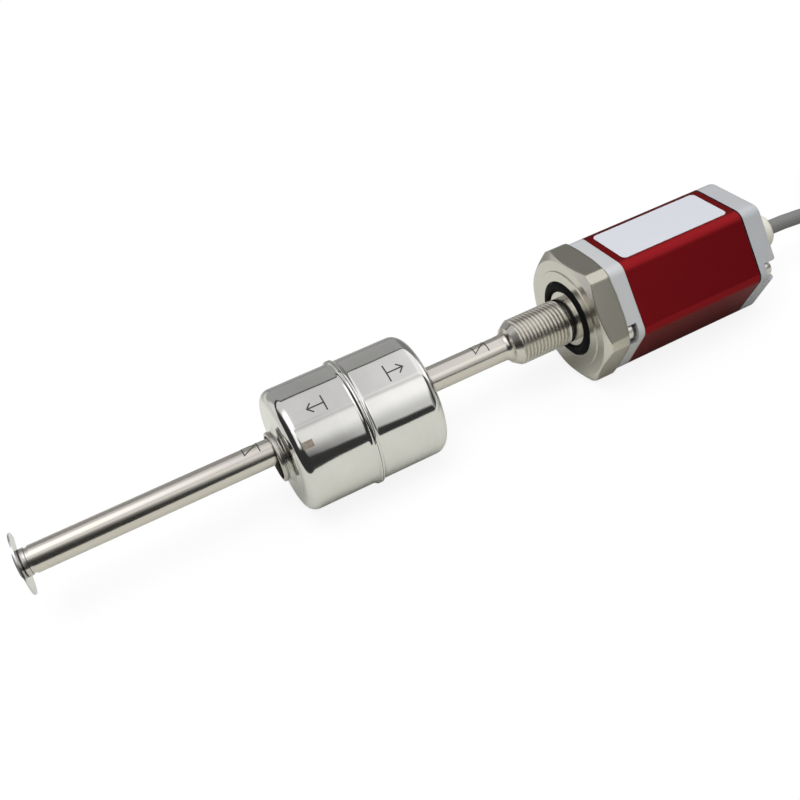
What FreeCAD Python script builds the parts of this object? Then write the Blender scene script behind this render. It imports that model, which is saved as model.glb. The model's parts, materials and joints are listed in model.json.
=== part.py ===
import FreeCAD, Part
import math
import os

import Sketcher

# Magnetostrictive level sensor, in millimetres.
# The rod's axis is X: +X runs to the head and its cable, -X to the rod's tip.
# The origin is the centre of the flange's sealing seat, and +Z is up, on the label's side.

DIMENSIONS = {
    # fits
    "fit_gap": 0.05,
    "running_gap": 0.3,
    "seat_play": 0.1,
    # rod
    "rod_diameter": 10.0,
    "rod_wall": 1.0,
    "rod_reach": 209.7,
    "rod_socket": 6.0,
    # turned plug in the rod's tip
    "plug_seam_length": 1.4,
    "plug_seam_depth": 0.4,
    "plug_collar_length": 1.7,
    "plug_groove_depth": 1.25,
    "plug_end_length": 1.2,
    "plug_end_chamfer": 0.5,
    "plug_spigot_length": 3.0,
    # snap ring that stops the float
    "ring_diameter": 22.2,
    "ring_thickness": 0.6,
    "ring_mouth": 6.4,
    # threaded stud below the flange
    "stud_diameter": 18.0,
    "stud_length": 26.6,
    "stud_chamfer_length": 3.0,
    "stud_chamfer_depth": 2.0,
    "stud_neck_diameter": 16.0,
    "stud_neck_length": 3.1,
    "weld_length": 1.3,
    "weld_lip": 0.3,
    "weld_radius": 1.2,
    # hexagon flange
    "flange_flats": 47.8,
    "flange_thickness": 10.5,
    "flange_corner_height": 2.7,
    "flange_step": 0.4,
    "flange_step_diameter": 38.4,
    "flange_face_inset": 0.4,
    "flange_back_height": 0.4,
    "flange_back_chamfer": 0.8,
    # face seal
    "groove_inner_diameter": 22.0,
    "groove_width": 4.2,
    "groove_depth": 2.6,
    "o_ring_section": 3.6,
    # spigot and ring nut that hold the flange to the front cap
    "spigot_diameter": 24.0,
    "spigot_bore": 6.0,
    "nut_diameter": 33.0,
    "nut_thickness": 5.0,
    "nut_slot_width": 4.0,
    "nut_slot_depth": 1.8,
    "spigot_stand_out": 0.7,
    # hexagonal housing
    "housing_flats": 46.0,
    "housing_corner_radius": 5.0,
    "housing_wall": 3.0,
    "cavity_corner_radius": 2.0,
    "body_length": 53.4,
    "front_cap_length": 6.5,
    "rear_cap_length": 9.3,
    "rear_cap_rim_radius": 2.8,
    "rear_cap_pocket": 5.4,
    "gasket_thickness": 0.6,
    "front_gasket_inset": 1.2,
    "gasket_hole_gap": 0.2,
    "port_diameter": 7.4,
    # cap screws in the notched corners
    "screw_diameter": 4.0,
    "screw_length": 15.0,
    "screw_head_diameter": 7.0,
    "screw_head_height": 3.7,
    "screw_socket_flats": 3.0,
    "screw_socket_depth": 2.0,
    "screw_hole_gap": 0.2,
    "notch_width": 8.8,
    "front_notch_depth": 3.9,
    "rear_notch_depth": 6.4,
    # label on the top face
    "label_margin": 2.95,
    "label_width": 20.4,
    "label_thickness": 0.15,
    "label_corner_radius": 2.0,
    # cable gland
    "gland_thread_diameter": 12.5,
    "gland_thread_length": 8.0,
    "gland_hex_flats": 15.0,
    "gland_hex_length": 3.0,
    "gland_sleeve_diameter": 11.2,
    "gland_sleeve_length": 5.6,
    "gland_seal_diameter": 9.5,
    "gland_seal_length": 4.8,
    "gland_nut_gap": 0.4,
    "gland_nut_length": 11.7,
    "gland_nut_hex_length": 5.0,
    "gland_nut_diameter": 14.8,
    "gland_nut_nose_radius": 3.0,
    # cable
    "cable_diameter": 6.0,
    "core_diameter": 1.2,
    "core_spacing": 2.6,
    "inner_core_length": 9.0,
    "coil_radius": 33.0,
    "coil_width": 12.0,
    "coil_height": 16.0,
    "coil_corner_radius": 2.0,
    "coil_floor": 19.0,
    "tail_length": 20.0,
    "core_end_length": 14.0,
    "tie_width": 4.0,
    "tie_thickness": 1.0,
    # circuit board
    "board_front_gap": 1.0,
    "board_rear_gap": 3.0,
    "board_thickness": 1.6,
    "board_level": 8.0,
    "rail_height": 1.2,
    "rail_reach": 2.0,
    "terminal_length": 10.0,
    "terminal_width": 9.0,
    "terminal_height": 10.0,
    # pick-up element on the board
    "holder_set_back": 3.0,
    "holder_length": 22.0,
    "holder_width": 12.0,
    "holder_wall": 3.0,
    "holder_base": 2.7,
    "holder_top": 4.0,
    "bobbin_length": 12.0,
    "bobbin_core_diameter": 3.6,
    "bobbin_flange_diameter": 7.2,
    "bobbin_flange": 1.0,
    "winding_diameter": 6.4,
    "magnet_bar_length": 8.0,
    "magnet_bar_width": 1.8,
    "magnet_bar_height": 3.0,
    "anchor_diameter": 5.0,
    "anchor_length": 4.0,
    # waveguide in the rod
    "wire_diameter": 0.7,
    "wire_hole_gap": 0.1,
    "sheath_diameter": 2.8,
    "sheath_bore": 1.4,
    "sheath_socket": 2.4,
    "return_wire_level": 1.9,
    "damper_length": 18.0,
    "joint_gap": 0.8,
    "joint_length": 2.0,
    "joint_width": 1.6,
    # float
    "float_position": 92.25,
    "float_diameter": 46.2,
    "float_length": 55.4,
    "float_wall": 0.4,
    "float_corner_radius": 4.2,
    "float_lip_height": 0.85,
    "float_lip_width": 0.9,
    "float_lip_radius": 0.3,
    "float_bore": 16.6,
    "float_tube_wall": 0.5,
    "float_collar_height": 0.6,
    "float_collar_length": 3.3,
    "float_collar_groove": 0.2,
    "float_ridge_radius": 0.5,
    "float_magnet_width": 3.1,
    "float_magnet_length": 6.0,
    "clip_sleeve": 1.1,
    "clip_flange": 1.5,
    "clip_overhang": 0.7,
}

# Route of the cable from the gland to its coil, chosen by hand: each point's distance
# behind the gland's nose, its place across and its level.
CABLE_ROUTE = [(0.0, 0.0, 0.0), (29.6, 0.0, 0.0), (57.6, -20.0, -5.0), (91.6, -20.0, -5.0)]
# Share of a straight run that a bend may take, and of a wall that a rounding may take.
ROUTE_SHARE = 0.45
ROUND_SHARE = 0.9

# Each chip's distance along the board, its middle across it, and its length, width and height.
CHIPS = [
    (4.0, 12.0, 10.0, 7.0, 1.6),
    (18.0, 12.0, 5.0, 6.2, 1.5),
    (27.0, 12.5, 7.0, 7.0, 1.2),
    (5.0, -12.0, 6.6, 6.6, 3.2),
    (16.0, -12.0, 5.0, 4.0, 1.5),
    (26.0, -12.0, 4.0, 6.0, 2.2),
]

HEX_SIDES = 6
HEX_HALF_ANGLE = math.pi / HEX_SIDES
TOLERANCE = 1e-4


class Size:
    """A number together with the sheet expression that works it out."""

    def __init__(self, value, text):
        self.value = value
        self.text = text

    @staticmethod
    def of(other):
        """Returns other as a Size."""
        if isinstance(other, Size):
            return other
        return Size(float(other), repr(float(other)))

    def _joined(self, sign, other, value):
        return Size(value, f"({self.text} {sign} {other.text})")

    def __add__(self, other):
        other = Size.of(other)
        return self._joined("+", other, self.value + other.value)

    def __sub__(self, other):
        other = Size.of(other)
        return self._joined("-", other, self.value - other.value)

    def __mul__(self, other):
        other = Size.of(other)
        return self._joined("*", other, self.value * other.value)

    def __truediv__(self, other):
        other = Size.of(other)
        return self._joined("/", other, self.value / other.value)

    def __neg__(self):
        return Size(-self.value, f"(-1 * {self.text})")

    def at_most(self, limit):
        """Returns the smaller of this size and a limit."""
        return Size(min(self.value, limit.value), f"min({self.text}; {limit.text})")


ZERO = Size.of(0.0)


class Sheet:
    """The document's spreadsheet: every dimension is an attribute that gives its Size."""

    def __init__(self, document, dimensions):
        self._cells = document.addObject("Spreadsheet::Sheet", "Sizes")
        self._values = dimensions
        for row, (alias, value) in enumerate(dimensions.items(), start=1):
            self._cells.set(f"A{row}", alias)
            self._cells.set(f"B{row}", str(value))
            self._cells.setAlias(f"B{row}", alias)

    def __getattr__(self, alias):
        return Size(self._values[alias], f"Sizes.{alias}")


doc = FreeCAD.newDocument("level_sensor")
d = Sheet(doc, DIMENSIONS)
doc.recompute()
nodes = []


def node(label, item):
    """Names a finished sub-part and lists it for export."""
    item.Label = label
    nodes.append(item)
    return item


def bind(item, name, size):
    """Ties a property to the sheet."""
    item.setExpression(name, Size.of(size).text)


def place(item, x, y, z):
    """Ties an object's position to the sheet."""
    for axis, size in zip("xyz", (x, y, z)):
        bind(item, f"Placement.Base.{axis}", size)


def hold_corner(sketch, line, kind, size):
    """Holds the start of a sketch line at a sheet-driven distance from the sketch's origin."""
    index = sketch.addConstraint(Sketcher.Constraint(kind, -1, 1, line, 1, size.value))
    sketch.setExpression(f"Constraints[{index}]", size.text)


def outline(body, plane, corners):
    """Draws a closed polygon on one of the body's own planes."""
    sketch = body.newObject("Sketcher::SketchObject", "Outline")
    support = next(item for item in body.Origin.OriginFeatures if item.Role == plane)
    sketch.AttachmentSupport = [(support, "")]
    sketch.MapMode = "FlatFace"
    corners = [(Size.of(u), Size.of(v)) for u, v in corners]
    spots = [FreeCAD.Vector(u.value, v.value, 0) for u, v in corners]
    for start, end in zip(spots, spots[1:] + spots[:1]):
        sketch.addGeometry(Part.LineSegment(start, end))
    for line in range(len(corners)):
        follower = (line + 1) % len(corners)
        sketch.addConstraint(Sketcher.Constraint("Coincident", line, 2, follower, 1))
    for line, (u, v) in enumerate(corners):
        hold_corner(sketch, line, "DistanceX", u)
        hold_corner(sketch, line, "DistanceY", v)
    return sketch


def turned(profile):
    """Turns a closed (x, radius) profile about the X axis."""
    body = doc.addObject("PartDesign::Body", "Turned")
    sketch = outline(body, "XY_Plane", profile)
    turn = body.newObject("PartDesign::Revolution", "Turn")
    turn.Profile = sketch
    turn.ReferenceAxis = (sketch, ["H_Axis"])
    turn.Angle = 360
    doc.recompute()
    return body


def prism(corners, start, length, plane="YZ_Plane"):
    """Pads a closed outline along its plane's normal from start, +X unless told otherwise."""
    body = doc.addObject("PartDesign::Body", "Prism")
    sketch = outline(body, plane, corners)
    bind(sketch, "AttachmentOffset.Base.z", start)
    pad = body.newObject("PartDesign::Pad", "Length")
    pad.Profile = sketch
    bind(pad, "Length", length)
    doc.recompute()
    return body


def round_edges(body, radius, chosen):
    """Rounds those edges of a body that the chosen test accepts."""
    base = body.Tip
    names = [f"Edge{i}" for i, edge in enumerate(base.Shape.Edges, start=1) if chosen(edge)]
    fillet = body.newObject("PartDesign::Fillet", "Round")
    fillet.Base = (base, names)
    bind(fillet, "Radius", radius)
    doc.recompute()
    return body


def rim(x, radius):
    """Returns a test for the full circle at x with this radius about the X axis."""
    def chosen(edge):
        curve = edge.Curve
        if not isinstance(curve, Part.Circle):
            return False
        off_station = abs(curve.Center.x - x.value)
        return off_station < TOLERANCE and abs(curve.Radius - radius.value) < TOLERANCE
    return chosen


def along(x, y, z):
    """Returns a test for straight edges that run along a direction."""
    def chosen(edge):
        ends = [vertex.Point for vertex in edge.Vertexes]
        direction = FreeCAD.Vector(x, y, z)
        return len(ends) == 2 and (ends[1] - ends[0]).cross(direction).Length < TOLERANCE
    return chosen


def at_station(x):
    """Returns a test for edges that lie wholly in the plane at x."""
    def chosen(edge):
        box = edge.BoundBox
        return abs(box.XMin - x.value) < TOLERANCE and abs(box.XMax - x.value) < TOLERANCE
    return chosen


def bar(x, y, z, diameter, length):
    """Makes a cylinder along X that starts at the given point."""
    item = doc.addObject("Part::Cylinder", "Bar")
    item.Placement.Rotation = FreeCAD.Rotation(FreeCAD.Vector(0, 1, 0), 90)
    place(item, x, y, z)
    bind(item, "Radius", Size.of(diameter) / 2)
    bind(item, "Height", length)
    return item


def stub(x, y, z, diameter, length):
    """Makes a cylinder along +Y that starts at the given point."""
    item = bar(x, y, z, diameter, length)
    item.Placement.Rotation = FreeCAD.Rotation(FreeCAD.Vector(1, 0, 0), -90)
    return item


def block(x, y, z, length, width, height):
    """Makes a box: x and z are its low sides, y is its middle."""
    item = doc.addObject("Part::Box", "Block")
    width = Size.of(width)
    place(item, x, Size.of(y) - width / 2, z)
    bind(item, "Length", length)
    bind(item, "Width", width)
    bind(item, "Height", height)
    return item


def cut(base, tools):
    """Cuts the tools out of base, one after the other."""
    for tool in tools:
        item = doc.addObject("Part::Cut", "Cut")
        item.Base = base
        item.Tool = tool
        base = item
    doc.recompute()
    return base


def fuse(pieces):
    """Joins pieces into one solid."""
    item = doc.addObject("Part::MultiFuse", "Join")
    item.Shapes = pieces
    item.Refine = True
    doc.recompute()
    return item


def common(first, second):
    """Keeps what two solids share."""
    item = doc.addObject("Part::Common", "Share")
    item.Base = first
    item.Tool = second
    doc.recompute()
    return item


def group(pieces):
    """Keeps separate solids together in one sub-part."""
    item = doc.addObject("Part::Compound", "Group")
    item.Links = pieces
    doc.recompute()
    return item


def tube(start, end, outer, inner):
    """Turns a plain tube between two stations."""
    return turned([(start, inner / 2), (start, outer / 2), (end, outer / 2), (end, inner / 2)])


def hexagon(flats):
    """Returns the corners of a hexagon that has flats facing up and down."""
    reach = flats / (2 * math.cos(HEX_HALF_ANGLE))
    turns = [2 * HEX_HALF_ANGLE * i for i in range(HEX_SIDES)]
    return [(reach * math.cos(turn), reach * math.sin(turn)) for turn in turns]


def hex_bar(flats, corner_radius, start, length):
    """Makes a hexagonal bar along X with rounded long edges."""
    return round_edges(prism(hexagon(flats), start, length), corner_radius, along(1, 0, 0))


# stations along the axis, from the rod's tip to the cable
rod_tip = -d.rod_reach
plug_collar_start = rod_tip - d.plug_seam_length
ring_groove_high = plug_collar_start - d.plug_collar_length
ring_groove_low = ring_groove_high - d.ring_thickness - d.seat_play * 2
ring_start = ring_groove_low + d.seat_play
flange_back = d.flange_thickness
body_start = flange_back + d.front_cap_length
body_end = body_start + d.body_length
rear_cap_start = body_end + d.gasket_thickness
rear_cap_end = rear_cap_start + d.rear_cap_length
gland_nut_start = rear_cap_end + d.gland_hex_length + d.gland_nut_gap
gland_nose = gland_nut_start + d.gland_nut_length
spigot_end = body_start + d.nut_thickness + d.spigot_stand_out

# values that several pieces share
rod_bore = d.rod_diameter - d.rod_wall * 2
ring_seat = d.rod_diameter - d.plug_groove_depth * 2
cavity_flats = d.housing_flats - d.housing_wall * 2
cavity_reach = cavity_flats / (2 * math.cos(HEX_HALF_ANGLE))
cavity_slope = math.tan(HEX_HALF_ANGLE)
screw_reach = (d.housing_flats / 2 - d.housing_corner_radius) / math.cos(HEX_HALF_ANGLE)
screw_sides = (screw_reach, -screw_reach)
screw_hole = d.screw_diameter + d.screw_hole_gap * 2
wire_hole = d.wire_diameter + d.wire_hole_gap * 2
board_top = d.board_thickness - d.board_level
board_start = spigot_end + d.board_front_gap
board_length = body_end - d.board_rear_gap - board_start
board_width = (cavity_reach - d.board_level * cavity_slope - d.seat_play) * 2
cable_bore = d.cable_diameter + d.fit_gap * 2


def build_rod():
    """Rod tube, the plug in its tip and the snap ring that stops the float."""
    node("rod_tube", tube(rod_tip, d.rod_socket, d.rod_diameter, rod_bore))

    rod_radius = d.rod_diameter / 2
    seam_radius = rod_radius - d.plug_seam_depth
    groove_radius = ring_seat / 2
    spigot_radius = rod_bore / 2 - d.fit_gap
    plug_end = ring_groove_low - d.plug_end_length
    spigot_top = rod_tip + d.plug_spigot_length
    node("end_plug", turned([
        (plug_end, ZERO),
        (plug_end, rod_radius - d.plug_end_chamfer),
        (plug_end + d.plug_end_chamfer, rod_radius),
        (ring_groove_low, rod_radius),
        (ring_groove_low, groove_radius),
        (ring_groove_high, groove_radius),
        (ring_groove_high, rod_radius),
        (plug_collar_start, rod_radius),
        (plug_collar_start, seam_radius),
        (rod_tip, seam_radius),
        (rod_tip, spigot_radius),
        (spigot_top, spigot_radius),
        (spigot_top, ZERO),
    ]))

    disc = bar(ring_start, ZERO, ZERO, d.ring_diameter, d.ring_thickness)
    seat = bar(ring_start, ZERO, ZERO, ring_seat + d.fit_gap * 2, d.ring_thickness)
    mouth = block(ring_start, d.ring_diameter / 2, -d.ring_mouth / 2,
                  d.ring_thickness, d.ring_diameter, d.ring_mouth)
    node("stop_ring", cut(disc, [seat, mouth]))


def build_flange():
    """Stud, hexagon and spigot turned as one piece, its face seal and its ring nut."""
    bore_radius = d.rod_diameter / 2 + d.fit_gap
    weld_face_radius = bore_radius + d.weld_lip
    stud_radius = d.stud_diameter / 2
    neck_radius = d.stud_neck_diameter / 2
    groove_inner = d.groove_inner_diameter / 2
    groove_outer = groove_inner + d.groove_width
    flat_radius = d.flange_flats / 2
    turned_radius = flat_radius + d.flange_corner_height
    face_radius = flat_radius - d.flange_face_inset
    front_chamfer = turned_radius - face_radius
    spigot_radius = d.spigot_diameter / 2
    stud_end = -d.stud_length
    profile = turned([
        (stud_end - d.weld_length, bore_radius),
        (stud_end - d.weld_length, weld_face_radius),
        (stud_end, weld_face_radius),
        (stud_end, stud_radius - d.stud_chamfer_depth),
        (stud_end + d.stud_chamfer_length, stud_radius),
        (-d.stud_neck_length, stud_radius),
        (-d.stud_neck_length, neck_radius),
        (ZERO, neck_radius),
        (ZERO, groove_inner),
        (d.groove_depth, groove_inner),
        (d.groove_depth, groove_outer),
        (ZERO, groove_outer),
        (ZERO, d.flange_step_diameter / 2),
        (d.flange_step, d.flange_step_diameter / 2),
        (d.flange_step, face_radius),
        (d.flange_step + front_chamfer, turned_radius),
        (flange_back - d.flange_back_chamfer, turned_radius),
        (flange_back, flat_radius + d.flange_back_height),
        (flange_back, spigot_radius),
        (spigot_end, spigot_radius),
        (spigot_end, d.spigot_bore / 2),
        (d.rod_socket, d.spigot_bore / 2),
        (d.rod_socket, bore_radius),
    ])
    weld_room = (stud_radius - d.stud_chamfer_depth - weld_face_radius) * ROUND_SHARE
    round_edges(profile, d.weld_radius.at_most(weld_room), rim(stud_end, weld_face_radius))
    bar_start = stud_end - d.weld_length
    hexagonal = prism(hexagon(d.flange_flats), bar_start, spigot_end - bar_start)
    node("hex_flange", common(profile, hexagonal))

    seal = doc.addObject("Part::Torus", "Seal")
    seal.Placement.Rotation = FreeCAD.Rotation(FreeCAD.Vector(0, 1, 0), 90)
    bind(seal, "Radius1", groove_inner + d.groove_width / 2)
    bind(seal, "Radius2", d.o_ring_section / 2)
    place(seal, d.groove_depth - d.o_ring_section / 2, ZERO, ZERO)
    node("flange_o_ring", seal)

    nut = tube(body_start, body_start + d.nut_thickness, d.nut_diameter,
               d.spigot_diameter + d.fit_gap * 2)
    slot_span = d.nut_diameter / 2 - d.nut_slot_depth
    slots = []
    for side in (1, -1):
        middle = (slot_span + d.nut_slot_depth / 2) * side
        slots.append(block(body_start, middle, -d.nut_slot_width / 2,
                           d.nut_thickness, d.nut_slot_depth, d.nut_slot_width))
        slots.append(block(body_start, ZERO, middle - d.nut_slot_depth / 2,
                           d.nut_thickness, d.nut_slot_width, d.nut_slot_depth))
    node("flange_nut", cut(nut, slots))


def ported_ring(flats, corner_radius, start, length, hole):
    """Hexagonal ring with a round screw port in each side corner."""
    ring = cut(hex_bar(flats, corner_radius, start, length),
               [hex_bar(cavity_flats, d.cavity_corner_radius, start, length)])
    ports = [bar(start, side, ZERO, d.port_diameter, length) for side in screw_sides]
    holes = [bar(start, side, ZERO, hole, length) for side in screw_sides]
    return ring, ports, holes


def notch_tools(start, depth):
    """Solids that cut an open slot for a screw head into each side corner."""
    tools = []
    for side, sign in zip(screw_sides, (1, -1)):
        tools.append(bar(start, side, ZERO, d.notch_width, depth))
        tools.append(block(start, side + d.notch_width / 2 * sign, -d.notch_width / 2,
                           depth, d.notch_width, d.notch_width))
    return tools


def cap_screw(seat, side, sign):
    """Socket-head screw seated at a station, with its head on the side that sign gives."""
    head_start = seat if sign > 0 else seat - d.screw_head_height
    shank_start = seat - d.screw_length if sign > 0 else seat
    socket_start = seat + (d.screw_head_height - d.screw_socket_depth) * sign
    if sign < 0:
        socket_start = socket_start - d.screw_socket_depth
    head = bar(head_start, side, ZERO, d.screw_head_diameter, d.screw_head_height)
    shank = bar(shank_start, side, ZERO, d.screw_diameter, d.screw_length)
    corners = [(y + side, z) for y, z in hexagon(d.screw_socket_flats)]
    return cut(fuse([head, shank]), [prism(corners, socket_start, d.screw_socket_depth)])


def build_housing():
    """Extruded body, its two caps with their gaskets and screws, and the bare label."""
    outer = (d.housing_flats, d.housing_corner_radius)
    tap_hole = d.screw_diameter + d.fit_gap * 2

    gasket_flats = d.housing_flats - d.front_gasket_inset * 2
    gasket_radius = d.housing_corner_radius - d.front_gasket_inset
    recess_start = body_start - d.gasket_thickness

    def front_seal():
        ring, _, holes = ported_ring(gasket_flats, gasket_radius, recess_start,
                                     d.gasket_thickness, screw_hole + d.gasket_hole_gap)
        return cut(ring, holes)

    cap = hex_bar(*outer, flange_back, d.front_cap_length)
    bore = bar(flange_back, ZERO, ZERO, d.spigot_diameter + d.fit_gap * 2, d.front_cap_length)
    holes = [bar(flange_back, side, ZERO, screw_hole, d.front_cap_length) for side in screw_sides]
    notches = notch_tools(flange_back, d.front_notch_depth)
    node("front_cap", cut(cap, [bore] + holes + notches + [front_seal()]))
    node("front_gasket", front_seal())

    ring, ports, holes = ported_ring(*outer, body_start, d.body_length, tap_hole)
    rails = []
    for top in (board_top + d.seat_play + d.rail_height, -d.board_level - d.seat_play):
        rail_foot = top - d.rail_height
        half = cavity_reach + rail_foot * cavity_slope
        for sign in (1, -1):
            middle = (half - d.rail_reach / 2 + d.housing_wall / 2) * sign
            rails.append(block(body_start, middle, rail_foot, d.body_length,
                               d.rail_reach + d.housing_wall / 2, d.rail_height))
    node("housing_body", cut(fuse([ring] + ports + rails), holes))

    ring, ports, holes = ported_ring(*outer, body_end, d.gasket_thickness, screw_hole)
    node("rear_gasket", cut(fuse([ring] + ports), holes))

    cap = hex_bar(*outer, rear_cap_start, d.rear_cap_length)
    round_edges(cap, d.rear_cap_rim_radius, at_station(rear_cap_end))
    pocket = hex_bar(cavity_flats, d.cavity_corner_radius, rear_cap_start, d.rear_cap_pocket)
    pillar = d.notch_width + d.housing_wall
    pocket = cut(pocket, [bar(rear_cap_start, side, ZERO, pillar, d.rear_cap_pocket)
                          for side in screw_sides])
    entry = bar(rear_cap_start, ZERO, ZERO, d.gland_thread_diameter + d.fit_gap * 2,
                d.rear_cap_length)
    holes = [bar(rear_cap_start, side, ZERO, screw_hole, d.rear_cap_length) for side in screw_sides]
    rear_seat = rear_cap_end - d.rear_notch_depth
    notches = notch_tools(rear_seat, d.rear_notch_depth)
    node("rear_cap", cut(cap, [pocket, entry] + holes + notches))

    front_seat = flange_back + d.front_notch_depth
    node("cap_screws", group([cap_screw(seat, side, sign)
                              for seat, sign in ((front_seat, -1), (rear_seat, 1))
                              for side in screw_sides]))

    label_start = body_start + d.label_margin
    label_end = body_end - d.label_margin
    label_half = d.label_width / 2
    label = prism([
        (label_start, -label_half),
        (label_end, -label_half),
        (label_end, label_half),
        (label_start, label_half),
    ], d.housing_flats / 2, d.label_thickness, "XY_Plane")
    node("name_label", round_edges(label, d.label_corner_radius, along(0, 0, 1)))


def build_gland():
    """Cable gland: body, rubber seal and dome nut, with the cable's jacket inside it."""
    thread_start = rear_cap_end - d.gland_thread_length
    hex_end = rear_cap_end + d.gland_hex_length
    sleeve_end = hex_end + d.gland_sleeve_length
    seal_start = sleeve_end - d.gland_seal_length + d.seat_play
    seal_radius = d.gland_seal_diameter / 2
    thread_radius = d.gland_thread_diameter / 2
    passage = cable_bore / 2 + d.running_gap
    hex_radius = d.gland_hex_flats / (2 * math.cos(HEX_HALF_ANGLE))
    shape = turned([
        (thread_start, passage),
        (thread_start, thread_radius),
        (rear_cap_end, thread_radius),
        (rear_cap_end, hex_radius),
        (hex_end, hex_radius),
        (hex_end, d.gland_sleeve_diameter / 2),
        (sleeve_end, d.gland_sleeve_diameter / 2),
        (sleeve_end, seal_radius + d.fit_gap),
        (seal_start, seal_radius + d.fit_gap),
        (seal_start, passage),
    ])
    hexagonal = prism(hexagon(d.gland_hex_flats), thread_start, sleeve_end - thread_start)
    node("gland_body", common(shape, hexagonal))
    node("gland_seal", tube(seal_start, sleeve_end, d.gland_seal_diameter, cable_bore))

    nut_radius = d.gland_nut_diameter / 2
    shoulder = sleeve_end + d.seat_play
    hex_stop = gland_nut_start + d.gland_nut_hex_length
    shape = turned([
        (gland_nut_start, d.gland_sleeve_diameter / 2 + d.fit_gap),
        (gland_nut_start, hex_radius),
        (hex_stop, hex_radius),
        (hex_stop, nut_radius),
        (gland_nose, nut_radius),
        (gland_nose, passage),
        (shoulder, seal_radius - d.running_gap),
        (shoulder, d.gland_sleeve_diameter / 2 + d.fit_gap),
    ])
    round_edges(shape, d.gland_nut_nose_radius, rim(gland_nose, nut_radius))
    hexagonal = prism(hexagon(d.gland_hex_flats), gland_nut_start, d.gland_nut_length)
    node("gland_nut", common(shape, hexagonal))

    entry_start = thread_start + d.seat_play
    node("cable_entry", bar(entry_start, ZERO, ZERO, d.cable_diameter, gland_nose - entry_start))
    return entry_start


def core_places():
    """Cross-section places of the cable's four cores."""
    half = d.core_spacing / 2
    return [(half * side, half * level) for side in (1, -1) for level in (1, -1)]


def build_electronics(entry_start):
    """Board in its rails, the parts on it, the terminals and the cores that end there."""
    node("circuit_board", block(board_start, ZERO, -d.board_level, board_length,
                                board_width, d.board_thickness))

    core_start = entry_start - d.inner_core_length
    terminal_end = core_start + d.terminal_length / 2
    terminal = block(terminal_end - d.terminal_length, ZERO, board_top, d.terminal_length,
                     d.terminal_width, d.terminal_height)
    ways = [bar(core_start, y, z, d.core_diameter + d.fit_gap * 2, d.terminal_length / 2)
            for y, z in core_places()]
    node("terminal_block", cut(terminal, ways))
    node("inner_cores", group([bar(core_start, y, z, d.core_diameter, d.inner_core_length)
                               for y, z in core_places()]))

    chips = []
    for ahead, aside, length, width, height in CHIPS:
        chips.append(block(board_start + ahead, aside, board_top, length, width, height))
    node("board_chips", group(chips))


def build_element():
    """Pick-up element on the board and the waveguide that runs from it down the rod."""
    holder_start = board_start + d.holder_set_back
    holder_end = holder_start + d.holder_length
    base_top = board_top + d.holder_base
    base = block(holder_start, ZERO, board_top, d.holder_length, d.holder_width, d.holder_base)
    wall_height = d.holder_top - board_top
    walls = [block(x, ZERO, board_top, d.holder_wall, d.holder_width, wall_height)
             for x in (holder_start, holder_end - d.holder_wall)]
    sheath_end = holder_start + d.sheath_socket
    way = bar(holder_start, ZERO, ZERO, wire_hole, d.holder_length)
    mouth = bar(holder_start, ZERO, ZERO, d.sheath_diameter + d.fit_gap * 2,
                sheath_end - holder_start)
    node("element_holder", cut(fuse([base] + walls), [way, mouth]))

    bobbin_start = holder_start + d.holder_length / 2 - d.bobbin_length / 2
    bobbin_end = bobbin_start + d.bobbin_length
    flange_radius = d.bobbin_flange_diameter / 2
    core_radius = d.bobbin_core_diameter / 2
    node("pickup_bobbin", turned([
        (bobbin_start, wire_hole / 2),
        (bobbin_start, flange_radius),
        (bobbin_start + d.bobbin_flange, flange_radius),
        (bobbin_start + d.bobbin_flange, core_radius),
        (bobbin_end - d.bobbin_flange, core_radius),
        (bobbin_end - d.bobbin_flange, flange_radius),
        (bobbin_end, flange_radius),
        (bobbin_end, wire_hole / 2),
    ]))
    node("coil_winding", tube(bobbin_start + d.bobbin_flange, bobbin_end - d.bobbin_flange,
                              d.winding_diameter, d.bobbin_core_diameter + d.fit_gap * 2))
    node("bias_magnet", block(holder_start + d.holder_length / 2 - d.magnet_bar_length / 2,
                              flange_radius + d.running_gap + d.magnet_bar_width / 2, base_top,
                              d.magnet_bar_length, d.magnet_bar_width, d.magnet_bar_height))
    anchor_end = holder_end + d.anchor_length
    node("waveguide_anchor", tube(holder_end, anchor_end, d.anchor_diameter, wire_hole))

    joint_start = rod_tip + d.plug_spigot_length + d.joint_gap
    wires_start = joint_start + d.joint_length
    damper_start = wires_start + d.seat_play
    damper_end = damper_start + d.damper_length
    sheath_start = damper_end + d.seat_play
    node("waveguide_wire", bar(wires_start, ZERO, ZERO, d.wire_diameter, anchor_end - wires_start))
    node("waveguide_sheath", tube(sheath_start, sheath_end, d.sheath_diameter, d.sheath_bore))
    node("return_wire", bar(wires_start, ZERO, d.return_wire_level, d.wire_diameter,
                            holder_start - wires_start))
    damper = bar(damper_start, ZERO, ZERO, rod_bore - d.seat_play * 2, d.damper_length)
    ways = [bar(damper_start, ZERO, z, wire_hole, d.damper_length)
            for z in (ZERO, d.return_wire_level)]
    node("damping_sleeve", cut(damper, ways))
    node("return_joint", block(joint_start, ZERO, -d.joint_width / 2, d.joint_length,
                               d.joint_width, d.return_wire_level + d.joint_width))


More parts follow.
